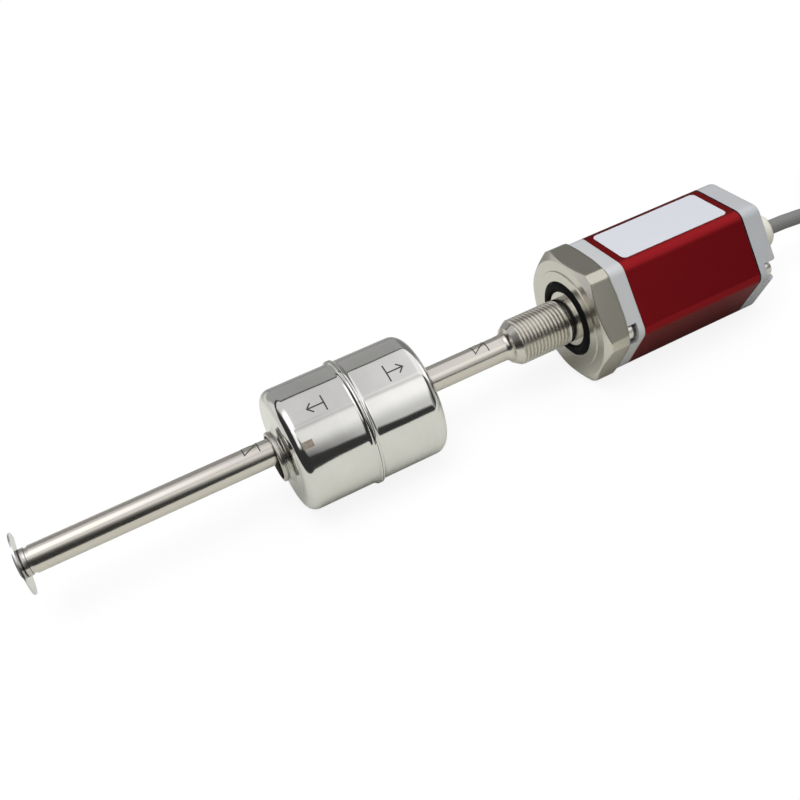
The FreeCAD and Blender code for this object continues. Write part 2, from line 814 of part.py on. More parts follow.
def float_shell(sign, middle):
    """One drawn half of the float, with a weld lip at its open edge."""
    outer = d.float_diameter / 2
    inner = outer - d.float_wall
    hole = d.float_bore / 2 + d.float_tube_wall + d.fit_gap
    end = middle + d.float_length / 2 * sign
    inside = end - d.float_wall * sign
    seam = middle + d.fit_gap * sign
    lip = middle + d.float_lip_width * sign
    body = turned([
        (end, hole),
        (end, outer),
        (lip, outer),
        (lip, outer + d.float_lip_height),
        (seam, outer + d.float_lip_height),
        (seam, inner),
        (inside, inner),
        (inside, hole),
    ])
    round_edges(body, d.float_corner_radius, rim(end, outer))
    round_edges(body, d.float_corner_radius - d.float_wall, rim(inside, inner))
    return round_edges(body, d.float_lip_radius, rim(lip, outer + d.float_lip_height))


def build_float():
    """Float of two drawn halves on a collared tube, with its ring magnet inside."""
    middle = -d.float_position
    half = d.float_length / 2
    bore = d.float_bore / 2
    wall = bore + d.float_tube_wall
    ridge = wall + d.float_collar_height
    split = d.float_collar_length / 2
    low_end = middle - half
    high_end = middle + half
    profile = [(low_end - d.float_collar_length, bore)]
    for start, sign in ((low_end, -1), (high_end, 1)):
        steps = [
            (start + d.float_collar_length * sign, ridge),
            (start + (split + d.float_collar_groove / 2) * sign, ridge),
            (start + (split + d.float_collar_groove / 2) * sign, wall),
            (start + (split - d.float_collar_groove / 2) * sign, wall),
            (start + (split - d.float_collar_groove / 2) * sign, ridge),
            (start, ridge),
            (start, wall),
        ]
        profile += steps if sign < 0 else steps[::-1]
    profile.append((high_end + d.float_collar_length, bore))
    stem = turned(profile)
    feet = (low_end.text, high_end.text)
    crests = [x for x, radius in profile if radius is ridge and x.text not in feet]

    def on_crest(edge):
        return any(rim(x, ridge)(edge) for x in crests)

    round_edges(stem, d.float_ridge_radius, on_crest)

    magnet_half = d.float_magnet_length / 2
    sleeve = wall + d.clip_sleeve
    magnet_bore = sleeve + d.fit_gap
    magnet_rim = magnet_bore + d.float_magnet_width
    clip_rim = magnet_rim + d.clip_overhang
    clips = []
    for sign in (-1, 1):
        clips.append(turned([
            (middle + d.fit_gap * sign, wall + d.fit_gap),
            (middle + d.fit_gap * sign, sleeve),
            (middle + magnet_half * sign, sleeve),
            (middle + magnet_half * sign, clip_rim),
            (middle + (magnet_half + d.clip_flange) * sign, clip_rim),
            (middle + (magnet_half + d.clip_flange) * sign, wall + d.fit_gap),
        ]))
    magnet = tube(middle - magnet_half, middle + magnet_half, magnet_rim * 2, magnet_bore * 2)
    hang = d.rod_diameter / 2 + d.running_gap - d.float_bore / 2
    float_pieces = {
        "float_shell_tip": float_shell(-1, middle),
        "float_shell_head": float_shell(1, middle),
        "float_tube": stem,
        "float_magnet": magnet,
        "magnet_clips": group(clips),
    }
    for label, piece in float_pieces.items():
        bind(piece, "Placement.Base.z", hang)
        node(label, piece)


def bent_tube(points, radius):
    """Sweeps a round section along straight runs joined by tangent arcs."""
    bends = []
    for before, corner, after in zip(points, points[1:], points[2:]):
        toward = (before - corner).normalize()
        onward = (after - corner).normalize()
        half_turn = (math.pi - toward.getAngle(onward)) / 2
        setback = ROUTE_SHARE * min((before - corner).Length, (after - corner).Length)
        bend_radius = setback / math.tan(half_turn)
        print(f"cable bend radius {bend_radius:.1f} mm")
        inward = (toward + onward).normalize()
        crown = corner + inward * (bend_radius / math.cos(half_turn) - bend_radius)
        bends.append((corner + toward * setback, crown, corner + onward * setback))
    edges = []
    start = points[0]
    for first, crown, last in bends:
        edges.append(Part.LineSegment(start, first).toShape())
        edges.append(Part.Arc(first, crown, last).toShape())
        start = last
    edges.append(Part.LineSegment(start, points[-1]).toShape())
    path = Part.Wire(edges)
    section = Part.Wire(Part.makeCircle(radius, points[0], points[1] - points[0]))
    swept = path.makePipeShell([section], True, False)
    expected = math.pi * radius ** 2 * path.Length
    print(f"cable tube {path.Length:.1f} mm long, volume {swept.Volume:.1f} of {expected:.1f} mm3")
    return swept


def build_cable():
    """Free cable from the gland's nose to its coil, the tie, the tail and the bare cores."""
    radius = DIMENSIONS["cable_diameter"] / 2
    nose = gland_nose.value
    route = [FreeCAD.Vector(nose + ahead, across, level) for ahead, across, level in CABLE_ROUTE]
    lead = doc.addObject("Part::Feature", "Lead")
    lead.Shape = bent_tube(route, radius)
    node("cable", lead)

    ahead, across, _ = CABLE_ROUTE[-1]
    outer_turn = d.coil_radius + d.coil_width / 2 - d.cable_diameter / 2
    middle_x = gland_nose + ahead
    middle_y = d.coil_radius + across
    half_width = d.coil_width / 2
    low = -d.coil_floor
    hank = doc.addObject("PartDesign::Body", "Hank")
    sketch = outline(hank, "XZ_Plane", [
        (d.coil_radius - half_width, low),
        (d.coil_radius + half_width, low),
        (d.coil_radius + half_width, low + d.coil_height),
        (d.coil_radius - half_width, low + d.coil_height),
    ])
    turn = hank.newObject("PartDesign::Revolution", "Turns")
    turn.Profile = sketch
    turn.ReferenceAxis = (sketch, ["V_Axis"])
    turn.Angle = 360
    doc.recompute()
    round_edges(hank, d.coil_corner_radius, lambda edge: isinstance(edge.Curve, Part.Circle))
    place(hank, middle_x, middle_y, ZERO)
    node("cable_coil", hank)

    play, strap_thickness = d.running_gap, d.tie_thickness
    window_low = low - play
    window_width, window_height = d.coil_width + play * 2, d.coil_height + play * 2
    strap = block(middle_x - d.tie_width / 2, middle_y + d.coil_radius, window_low - strap_thickness,
                  d.tie_width, window_width + strap_thickness * 2, window_height + strap_thickness * 2)
    window = block(middle_x - d.tie_width / 2, middle_y + d.coil_radius, window_low,
                   d.tie_width, window_width, window_height)
    node("cable_tie", cut(strap, [window]))

    tail_x = middle_x + outer_turn
    tail_z = low + d.cable_diameter / 2
    node("cable_tail", stub(tail_x, middle_y, tail_z, d.cable_diameter, d.tail_length))
    node("core_ends", group([
        stub(tail_x + y, middle_y + d.tail_length, tail_z + z, d.core_diameter, d.core_end_length)
        for y, z in core_places()
    ]))


def check_and_write():
    """Refuses a document with a failed object or shape, then writes every sub-part."""
    doc.recompute()
    failed = [item.Name for item in doc.Objects if {"Invalid", "Error"} & set(item.State)]
    failed += [item.Label for item in nodes if item.Shape.isNull() or not item.Shape.isValid()]
    if failed:
        raise RuntimeError("failed: " + ", ".join(failed))
    os.makedirs("parts", exist_ok=True)
    for item in nodes:
        item.Shape.exportStep(f"parts/{item.Label}.step")
        print(f"{item.Label}: {len(item.Shape.Solids)} solid, {item.Shape.Volume:.1f} mm3")


build_rod()
build_flange()
build_housing()
build_electronics(build_gland())
build_element()
build_float()
build_cable()
check_and_write()
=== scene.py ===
"""Looks of a magnetostrictive level sensor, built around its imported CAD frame.

The frame is in metres with its origin in the flange's sealing seat, +X towards the head and +Z up. Sizes in the
classes below are in millimetres, as on the part's drawing, and turn into metres where a mesh is made.
"""

from __future__ import annotations

import json
import logging
from dataclasses import dataclass, field, replace
from enum import Enum, IntEnum
from math import asin, ceil, copysign, cos, degrees, hypot, pi, radians, sin, sqrt, tau
from typing import Any, Callable, Iterable, Mapping, Sequence, Union

import bmesh
import bpy
from mathutils import Matrix, Vector

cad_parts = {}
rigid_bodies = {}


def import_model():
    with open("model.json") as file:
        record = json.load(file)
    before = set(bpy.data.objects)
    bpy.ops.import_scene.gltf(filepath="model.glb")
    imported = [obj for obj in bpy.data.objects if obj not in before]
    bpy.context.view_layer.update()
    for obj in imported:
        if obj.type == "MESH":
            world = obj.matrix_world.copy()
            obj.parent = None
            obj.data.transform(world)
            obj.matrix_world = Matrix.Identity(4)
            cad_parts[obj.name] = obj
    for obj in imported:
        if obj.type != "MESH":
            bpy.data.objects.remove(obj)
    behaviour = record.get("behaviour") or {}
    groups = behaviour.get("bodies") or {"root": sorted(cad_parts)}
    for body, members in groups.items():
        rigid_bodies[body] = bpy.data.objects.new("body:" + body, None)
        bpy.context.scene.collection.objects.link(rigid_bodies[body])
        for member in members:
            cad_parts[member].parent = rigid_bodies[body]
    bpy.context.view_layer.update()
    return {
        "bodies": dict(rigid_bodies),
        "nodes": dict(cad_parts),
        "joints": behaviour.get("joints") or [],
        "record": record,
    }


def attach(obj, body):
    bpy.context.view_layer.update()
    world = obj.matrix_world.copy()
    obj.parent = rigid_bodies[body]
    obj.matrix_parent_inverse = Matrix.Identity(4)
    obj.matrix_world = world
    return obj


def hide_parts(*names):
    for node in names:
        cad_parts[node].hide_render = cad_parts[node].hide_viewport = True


MM = 0.001
LOG = logging.getLogger("level_sensor")

Colour = tuple[float, float, float]
Point = tuple[float, float, float]
Pair = tuple[float, float]
Ring = list[bmesh.types.BMVert]
Value = Union["Field", float, Sequence[float]]

BLACK = (0.0, 0.0, 0.0, 1.0)
WHITE = (1.0, 1.0, 1.0, 1.0)
FLOAT_AXIS_Z = -3.0  # the float hangs on the rod, so its axis is lower than the rod's
GROUND_SLOPE = 0.02327  # rise of the ground along X, on which the float and the rear cap both rest
SAME_PLACE = 1e-7  # vertices this close, in metres, are one
SLIVER = 1e-6  # faces thinner than this, in metres, go


class Body(Enum):
    """The frame's moving bodies."""

    SENSOR = "sensor"
    FLOAT = "float"


class Grain(Enum):
    """How a metal surface was worked, which sets the way its fine lines run."""

    LENGTHWISE = "lengthwise"
    TURNED = "turned"
    BLASTED = "blasted"


class FlangeSkin(IntEnum):
    """The flange's surfaces, in the order of its materials."""

    TURNED = 0
    THREAD = 1
    HEXAGON = 2
    FLARE = 3


# ---------------------------------------------------------------- shader maths


def operator(operation: str, swapped: bool = False) -> Callable[[Field, Value], Field]:
    """Makes one of Field's arithmetic methods from a Math node's operation, with the other value first if swapped."""

    def work(this: Field, other: Value) -> Field:
        """Adds the Math node."""
        return this.shader.maths(operation, *((other, this) if swapped else (this, other)))

    return work


class Field:
    """A value that varies over a surface: one output socket, with arithmetic that adds Math nodes."""

    def __init__(self, shader: Shader, socket: bpy.types.NodeSocket | None) -> None:
        """Keeps the socket and the shader that it belongs to."""
        self.shader = shader
        self.socket = socket

    __add__ = __radd__ = operator("ADD")
    __mul__ = __rmul__ = operator("MULTIPLY")
    __sub__ = operator("SUBTRACT")
    __rsub__ = operator("SUBTRACT", swapped=True)
    __pow__ = operator("POWER")

    def __neg__(self) -> Field:
        """Changes the sign."""
        return self * -1.0

    def output(self, name: str) -> Field:
        """Gives another output of the same node."""
        return Field(self.shader, self.socket.node.outputs[name])

    def rise(self, low: float, high: float) -> Field:
        """Goes smoothly from 0 at low to 1 at high, and the other way where low is above high."""
        ends = zip(("From Min", "From Max", "To Min", "To Max"), (*sorted((low, high)), low > high, low < high))
        return self.shader.node("MapRange", {"interpolation_type": "SMOOTHSTEP"}, {"Value": self, **dict(ends)})


class Shader:
    """A node tree that is written as expressions."""

    def __init__(self, tree: bpy.types.NodeTree) -> None:
        """Starts with an empty tree."""
        self.tree = tree
        tree.nodes.clear()

    def node(self, kind: str, settings: Mapping[str, Any] | None = None,
             inputs: Mapping[str | int, Value] | None = None, output: str | int = 0) -> Field:
        """Adds a node of any type.

        Args:
            kind: The node's type, without the ShaderNode in front.
            settings: The node's own settings, set first.
            inputs: Values or links of its sockets, by name or number.
            output: The output that is returned.

        Returns:
            That output, which is empty for a tree's end node.
        """
        made = self.tree.nodes.new("ShaderNode" + kind)
        for name, value in (settings or {}).items():
            setattr(made, name, value)
        for name, value in (inputs or {}).items():
            if isinstance(value, Field):
                self.tree.links.new(value.socket, made.inputs[name])
            else:
                made.inputs[name].default_value = value
        return Field(self, made.outputs[output] if len(made.outputs) else None)

    def maths(self, operation: str, *terms: Value) -> Field:
        """Adds a Math node."""
        return self.node("Math", {"operation": operation}, dict(enumerate(terms)))

    def seen(self) -> Field:
        """Is 1 where the camera looks straight at the background."""
        return self.node("LightPath", output="Is Camera Ray")

    def place(self) -> Field:
        """Gives the point on the surface, in the frame's metres at rest."""
        return self.node("TexCoord", output="Object")

    def parts(self, vector: Field) -> tuple[Field, Field, Field]:
        """Splits a vector into its three numbers."""
        split = self.node("SeparateXYZ", inputs={0: vector})
        return split.output("X"), split.output("Y"), split.output("Z")

    def vector(self, x: Value, y: Value, z: Value) -> Field:
        """Joins three numbers into a vector."""
        return self.node("CombineXYZ", inputs={0: x, 1: y, 2: z})

    def stretched(self, vector: Field, scale: Point) -> Field:
        """Scales a vector by its three axes."""
        return self.node("VectorMath", {"operation": "MULTIPLY"}, {0: vector, 1: scale})

    def noise(self, vector: Field, scale: float, detail: float = 2.0, rough: float = 0.5) -> Field:
        """Gives cloudy noise from 0 to 1, with scale features to the metre."""
        return self.node("TexNoise", inputs={"Vector": vector, "Scale": scale, "Detail": detail, "Roughness": rough})

    def blend(self, mask: Value, first: Value, second: Value) -> Field:
        """Mixes two colours: first where the mask is 0 and second where it is 1."""
        ends = [value if isinstance(value, Field) else (*value, 1.0) for value in (first, second)]
        return self.node("Mix", {"data_type": "RGBA"}, {0: mask, 6: ends[0], 7: ends[1]}, output=2)

    def bump(self, height: Field, depth: float, normal: Field | None = None) -> Field:
        """Puts a height from 0 to 1, which is depth metres, on a normal or else on the mesh's own."""
        under = {} if normal is None else {"Normal": normal}
        return self.node("Bump", inputs={"Strength": 1.0, "Distance": depth, "Height": height, **under})

    def soft_edges(self, radius: float) -> Field:
        """Gives the normal with the edges rounded off, by a radius in metres."""
        return self.node("Bevel", {"samples": 4}, {"Radius": radius})

    def edge_mask(self, rounded: Field) -> Field:
        """Is 1 on sharp edges, where the rounded normal leaves the mesh's own."""
        ends = {0: rounded, 1: self.node("NewGeometry", output="Normal")}
        return self.node("VectorMath", {"operation": "DOT_PRODUCT"}, ends, output="Value").rise(0.995, 0.9)


# -------------------------------------------------------------------- finishes


def shades(colour: Colour, tone: float) -> tuple[Colour, Colour]:
    """Gives a colour made darker and lighter by a share of itself."""
    return tuple(c * (1 - tone) for c in colour), tuple(min(1.0, c * (1 + tone)) for c in colour)


@dataclass(frozen=True)
class DarkBand:
    """A darker band across X, painted shade in grooves and gaps and a painted dark reflection; at the gland's mouth
    partly the seal's brown. Places in millimetres.
    """

    low: float
    high: float
    colour: Colour
    share: float = 0.9
    soft: float = 0.08

    def over(self, sh: Shader, colour: Value) -> Field:
        """Lays the dark band over a colour.

        Args:
            sh: The material's shader.
            colour: The colour under the band.

        Returns:
            The darkened colour.
        """
        x, _, _ = sh.parts(sh.place())
        low, high, soft = self.low * MM, self.high * MM, self.soft * MM
        inside = x.rise(low - soft, low + soft) * x.rise(high + soft, high - soft)
        return sh.blend(inside * self.share, colour, self.colour)


@dataclass(frozen=True)
class Finish:
    """A surface finish, which makes one material for all the pieces that have it."""

    name: str
    dark_bands: tuple[DarkBand, ...] = field(default=(), kw_only=True)

    def paint(self, sh: Shader) -> dict[str, Value]:
        """Says what the finish puts on the shader's sockets.

        Args:
            sh: The material's shader.

        Returns:
            Values and links by the socket's name.
        """
        raise NotImplementedError

    def material(self) -> bpy.types.Material:
        """Gives the finish's material, which is made the first time.

        Returns:
            The material.
        """
        found = bpy.data.materials.get(self.name)
        if found is None:
            found = bpy.data.materials.new(self.name)
            found.use_nodes = True
            sh = Shader(found.node_tree)
            inputs = self.paint(sh)
            # dark bands of painted shade, and of painted dark reflection, go over the base colour
            for dark_band in self.dark_bands:
                inputs["Base Color"] = dark_band.over(sh, inputs["Base Color"])
            surface = sh.node("BsdfPrincipled", inputs=inputs)
            sh.node("OutputMaterial", inputs={"Surface": surface})
        return found


@dataclass(frozen=True)
class Metal(Finish):
    """Bare or plated metal with the fine lines that its making left.

    There are lines of them to the metre, depth metres deep. The tone is how much lighter and darker the clouds are,
    and uneven how much the gloss varies. Turned lines run round an axis at the height axis_z. An edge is rounded by
    that many metres and worn lighter by edge_light, and swell is the depth of the waves that pressing leaves.
    """

    colour: Colour
    rough: float
    grain: Grain
    lines: float = 5000.0
    depth: float = 4e-6
    tone: float = 0.06
    uneven: float = 0.06
    axis_z: float = 0.0
    edge: float = 0.0
    edge_light: float = 0.0
    metallic: float = 1.0
    swell: float = 0.0
    drawn_out: float = 0.012
    wander: float = 0.004
    clouds: float = 90.0
    waves: float = 60.0
    worn: float = 1.25

    def _worked(self, sh: Shader, place: Field) -> Field:
        """Gives the height of the fine lines.

        Args:
            sh: The material's shader.
            place: The point on the surface.

        Returns:
            The height, from 0 to 1.
        """
        if self.grain is Grain.LENGTHWISE:
            return sh.noise(sh.stretched(place, (self.drawn_out, 1.0, 1.0)), self.lines, 3.0, 0.6)
        if self.grain is Grain.TURNED:
            x, y, z = sh.parts(place)
            high = z - self.axis_z
            around = (y * y + high * high) ** 0.5
            return sh.noise(sh.vector(x, around, (y + high) * self.wander), self.lines, 3.0, 0.6)
        return sh.noise(place, self.lines, 2.0, 0.6)

    def paint(self, sh: Shader) -> dict[str, Value]:
        """Gives the metal clouds of tone, worked lines and uneven gloss.

        Args:
            sh: The material's shader.

        Returns:
            Values and links by the socket's name.
        """
        place = sh.place()
        clouds = sh.noise(place, self.clouds, 4.0, 0.55)
        lines = self._worked(sh, place)
        colour = sh.blend(clouds * 0.7 + lines * 0.3, *shades(self.colour, self.tone))
        rough = self.rough + (clouds - 0.5) * self.uneven + (lines - 0.5) * self.uneven
        normal = None
        if self.edge:
            normal = sh.soft_edges(self.edge)
            bright = tuple(min(1.0, c * self.worn) for c in self.colour)
            colour = sh.blend(sh.edge_mask(normal) * self.edge_light, colour, bright)
        if self.swell:
            normal = sh.bump(sh.noise(place, self.waves, 1.0), self.swell, normal)
        return {"Base Color": colour, "Metallic": self.metallic, "Roughness": rough,
                "Normal": sh.bump(lines, self.depth, normal)}


@dataclass(frozen=True)
class Anodised(Finish):
    """Extruded aluminium under a clear, dyed oxide layer, thinner and paler along its edges."""

    colour: Colour
    pale: Colour
    rough: float
    gloss: float = 0.68
    gloss_ior: float = 1.2
    gloss_rough: float = 0.3
    edge: float = 0.0004
    drawn_out: float = 0.01
    lines: float = 2600.0
    etched: float = 9000.0
    clouds: float = 120.0
    depth: float = 5e-6

    def paint(self, sh: Shader) -> dict[str, Value]:
        """Gives drawing lines along the bar, fine etch and paler edges.

        Args:
            sh: The material's shader.

        Returns:
            Values and links by the socket's name.
        """
        place = sh.place()
        drawn = sh.noise(sh.stretched(place, (self.drawn_out, 1.0, 1.0)), self.lines, 3.0, 0.6)
        etch = sh.noise(place, self.etched, 2.0, 0.6)
        clouds = sh.noise(sh.stretched(place, (0.35, 1.0, 1.0)), self.clouds, 3.0)
        rounded = sh.soft_edges(self.edge)
        deep = tuple(c * 0.9 for c in self.colour)
        colour = sh.blend(drawn * 0.4 + clouds * 0.6, deep, self.colour)
        colour = sh.blend(sh.edge_mask(rounded) * 0.5, colour, self.pale)
        return {"Base Color": colour, "Metallic": 1.0, "Specular Tint": (*self.colour, 1.0),
                "Roughness": self.rough + (etch - 0.5) * 0.1 + (clouds - 0.5) * 0.06,
                "Coat Weight": self.gloss, "Coat IOR": self.gloss_ior, "Coat Roughness": self.gloss_rough,
                "Normal": sh.bump(drawn * 0.6 + etch * 0.4, self.depth, rounded)}


@dataclass(frozen=True)
class Moulded(Finish):
    """Plastic, rubber or another dull stuff, with a fine skin of its own."""

    colour: Colour
    rough: float
    skin: float = 2500.0
    depth: float = 6e-6
    tone: float = 0.08
    coat: float = 0.0
    shine: float = 0.5
    clouds: float = 140.0

    def paint(self, sh: Shader) -> dict[str, Value]:
        """Gives a mottled colour and a fine skin.

        Args:
            sh: The material's shader.

        Returns:
            Values and links by the socket's name.
        """
        place = sh.place()
        clouds = sh.noise(place, self.clouds, 3.0)
        skin = sh.noise(place, self.skin, 3.0, 0.6)
        return {"Base Color": sh.blend(clouds * 0.6 + skin * 0.4, *shades(self.colour, self.tone)),
                "Roughness": self.rough + (skin - 0.5) * 0.12,
                "Coat Weight": self.coat, "Coat Roughness": 0.15, "Specular IOR Level": self.shine,
                "Normal": sh.bump(skin, self.depth)}


@dataclass(frozen=True)
class Etched(Finish):
    """A mark burnt into bare metal, broken up where the beam skipped."""

    colour: Colour
    bare: Colour
    broken: float
    speckle: float = 2600.0
    depth: float = 1e-5

    def paint(self, sh: Shader) -> dict[str, Value]:
        """Gives burnt metal that is speckled with bare metal.

        Args:
            sh: The material's shader.

        Returns:
            Values and links by the socket's name.
        """
        speckle = sh.noise(sh.place(), self.speckle, 3.0, 0.7)
        bare = speckle.rise(0.5, 0.68) * self.broken
        return {"Base Color": sh.blend(bare, self.colour, self.bare),
                "Metallic": 0.35 + bare * 0.6, "Roughness": 0.55 - bare * 0.3,
                "Normal": sh.bump(speckle, self.depth)}


@dataclass(frozen=True)
class Laminate(Finish):
    """A circuit board: lacquer over glass weave, with printed tracks under it."""

    colour: Colour
    track: Colour
    threads: float = 9000.0
    tracks: float = 160.0
    depth: float = 1.2e-5

    def paint(self, sh: Shader) -> dict[str, Value]:
        """Gives the weave, and tracks along the board.

        Args:
            sh: The material's shader.

        Returns:
            Values and links by the socket's name.
        """
        place = sh.place()
        x, y, _ = sh.parts(place)
        weave = sh.maths("SINE", x * self.threads) * sh.maths("SINE", y * self.threads)
        lanes = sh.node("TexBrick", {"offset": 0.37},
                        {"Vector": sh.stretched(place, (1.0, 1.0, 0.0)), "Scale": self.tracks, "Mortar Size": 0.03,
                         "Color1": BLACK, "Color2": BLACK, "Mortar": WHITE}, output="Fac")
        return {"Base Color": sh.blend(lanes, self.colour, self.track),
                "Roughness": 0.32 + weave * 0.04, "Coat Weight": 0.4, "Coat Roughness": 0.1,
                "Normal": sh.bump(weave * 0.5 + lanes, self.depth)}


ROD_STEEL = Metal("rod_satin_steel", (0.63, 0.60, 0.545), 0.19, Grain.LENGTHWISE, 5200.0, 6e-6, 0.05)
# painted light on the tip plug: a painted dark reflection on its end past the snap ring, painted shade in the groove
# behind the ring, and a darker seam line
TIP_STEEL = Metal("tip_turned_steel", (0.60, 0.575, 0.54), 0.2, Grain.TURNED, dark_bands=(
    DarkBand(-220.0, -213.2, (0.14, 0.14, 0.13), 0.8), DarkBand(-213.2, -212.55, (0.03, 0.03, 0.03)),
    DarkBand(-211.15, -210.95, (0.1, 0.095, 0.09), 0.7)))
RING_STEEL = Metal("ring_stamped_steel", (0.66, 0.655, 0.65), 0.24, Grain.BLASTED, 1500.0, 5e-6, 0.05)
FLOAT_STEEL = Metal("float_polished_steel", (0.70, 0.695, 0.67), 0.08, Grain.TURNED, 2200.0, 1.2e-6, 0.13, 0.04,
                    FLOAT_AXIS_Z * MM, swell=1.2e-4)
COLLAR_STEEL = Metal("collar_turned_steel", (0.52, 0.505, 0.465), 0.24, Grain.TURNED, depth=5e-6,
                     axis_z=FLOAT_AXIS_Z * MM)
FLANGE_NICKEL = Metal("flange_plated_nickel", (0.63, 0.61, 0.555), 0.2, Grain.TURNED, 5200.0, 5e-6, 0.05,
                      edge=0.0003, edge_light=0.4)
THREAD_NICKEL = replace(FLANGE_NICKEL, name="thread_plated_nickel", edge=0.00015)
# painted shade: the hexagon's flats get a darker, greener copy of the nickel on the flange's turned face
HEX_NICKEL = replace(FLANGE_NICKEL, name="hexagon_plated_nickel", colour=(0.53, 0.51, 0.43), grain=Grain.LENGTHWISE,
                     edge=0.0012)
CAP_ALUMINIUM = Metal("cap_blasted_aluminium", (0.59, 0.605, 0.615), 0.5, Grain.BLASTED, 6000.0, 8e-6, 0.05, 0.08,
                      edge=0.0004, edge_light=0.5, metallic=0.35)
# painted shade: the rear cap is a darker copy of the cap aluminium, for the light that falls off towards it
SHADED_REAR_ALUMINIUM = replace(CAP_ALUMINIUM, name="rear_blasted_aluminium", colour=(0.52, 0.535, 0.555))
# painted shadow: a dark band across the front screw heads near their seats, where the cap's notch shades them
SCREW_STEEL = Metal("screw_plated_steel", (0.80, 0.78, 0.74), 0.3, Grain.TURNED, dark_bands=(
    DarkBand(13.0, 14.6, (0.05, 0.05, 0.05), 0.85, 0.15),))
BRASS = Metal("turned_brass", (0.72, 0.52, 0.26), 0.28, Grain.TURNED, tone=0.08)
COPPER = Metal("drawn_copper", (0.78, 0.42, 0.27), 0.3, Grain.LENGTHWISE, tone=0.08)
WIRE_ALLOY = Metal("drawn_wire_alloy", (0.55, 0.53, 0.5), 0.25, Grain.LENGTHWISE)
SPRING_STEEL = Metal("pressed_spring_steel", (0.5, 0.5, 0.5), 0.3, Grain.BLASTED, 3000.0, 5e-6, 0.07)

BODY_RED = Anodised("body_red_anodised", (0.3, 0.0075, 0.0125), (0.44, 0.075, 0.075), 0.38)

SEAL_RUBBER = Moulded("seal_black_rubber", (0.006, 0.006, 0.007), 0.6, 3000.0, 8e-6, 0.2, shine=0.06)
LABEL_FILM = Moulded("label_white_film", (0.62, 0.638, 0.685), 0.4, 5000.0, 3e-6, 0.02, coat=0.2)
# brown band at the gland's mouth: partly the seal's brown edge, partly painted shade of the gap and the cable's shadow
GLAND_NYLON = Moulded("gland_ivory_nylon", (0.72, 0.70, 0.60), 0.42, 1800.0, 8e-6, 0.05, dark_bands=(
    DarkBand(94.0, 99.0, (0.2, 0.12, 0.075), 0.85, 0.25),))
CABLE_JACKET = Moulded("cable_grey_jacket", (0.19, 0.19, 0.185), 0.5, 1600.0, 1.2e-5)
TIE_NYLON = Moulded("tie_black_nylon", (0.02, 0.02, 0.022), 0.4, 2500.0, 8e-6, 0.15)
TERMINAL_PLASTIC = Moulded("terminal_green_plastic", (0.03, 0.2, 0.08), 0.45)
CHIP_EPOXY = Moulded("chip_black_epoxy", (0.02, 0.02, 0.022), 0.55, 5000.0, 8e-6, 0.15)
HOLDER_PLASTIC = Moulded("holder_black_plastic", (0.03, 0.03, 0.032), 0.45, 2500.0, 8e-6, 0.12)
MAGNET_FERRITE = Moulded("magnet_dark_ferrite", (0.045, 0.043, 0.045), 0.5, 1200.0, 2e-5, 0.2)
SHEATH_WHITE = Moulded("sheath_white_sleeve", (0.75, 0.74, 0.7), 0.5)
DAMPER_RUBBER = Moulded("damper_soft_rubber", (0.05, 0.05, 0.055), 0.6, 2000.0, 1e-5, 0.15)
CORE_COLOURS = tuple(
    Moulded(f"core_{name}_insulation", colour, 0.4, 3000.0, 4e-6)
    for name, colour in (("brown", (0.12, 0.045, 0.02)), ("white", (0.7, 0.7, 0.68)), ("blue", (0.02, 0.07, 0.3)),
                         ("black", (0.015, 0.015, 0.016))))
BOARD_LAMINATE = Laminate("board_green_laminate", (0.01, 0.09, 0.04), (0.03, 0.2, 0.08))
MARK_BURNT = Etched("mark_burnt_steel", (0.045, 0.04, 0.035), (0.4, 0.37, 0.33), 0.3)
PATCH_BURNT = Etched("patch_burnt_steel", (0.28, 0.23, 0.18), (0.62, 0.6, 0.55), 0.9)


# ---------------------------------------------------------------- mesh helpers

STROKE_LIFT = 0.03  # how far burnt strokes stand out of the metal, and reach into it
STROKE_STEP = 0.4  # the length of a stroke's faces
SHARPEST_MITRE = 0.35  # the cosine at which a stroke's corner is no longer drawn out


def metres(point: Sequence[float]) -> Vector:
    """Turns a point in millimetres into metres."""
    return Vector(point) * MM


def along_and_out(place: Vector) -> Pair:
    """Gives a mesh point's place along X and its distance from that axis, in millimetres."""
    return place.x / MM, hypot(place.y, place.z) / MM


def turns(count: int) -> list[float]:
    """Divides a full turn into equal steps, in radians."""
    return [tau * k / count for k in range(count)]


def share(value: float) -> float:
    """Keeps a number between 0 and 1."""
    return min(1.0, max(0.0, value))


def shown(name: str, data: bpy.types.ID) -> bpy.types.Object:
    """Puts an object in the scene.

    Args:
        name: The object's name.
        data: Its mesh, curve, lamp or camera.

    Returns:
        The object.
    """
    made = bpy.data.objects.new(name, data)
    bpy.context.scene.collection.objects.link(made)
    return made


def settle(piece: bpy.types.Object, body: Body, slot: str, *stands_for: str) -> bpy.types.Object:
    """Ties a new piece to its body and hides the nodes that it is shown in place of.

    Args:
        piece: The new piece.
        body: The body that it moves with.
        slot: The record's material slot; not used.
        stands_for: Nodes of the frame that it is shown in place of.

    Returns:
        The piece.
    """
    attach(piece, body.value)
    if stands_for:
        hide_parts(*stands_for)
    faces = len(piece.data.polygons) if piece.type == "MESH" else 0
    LOG.info("piece %s rides on %s, %d faces", piece.name, body.value, faces)
    return piece


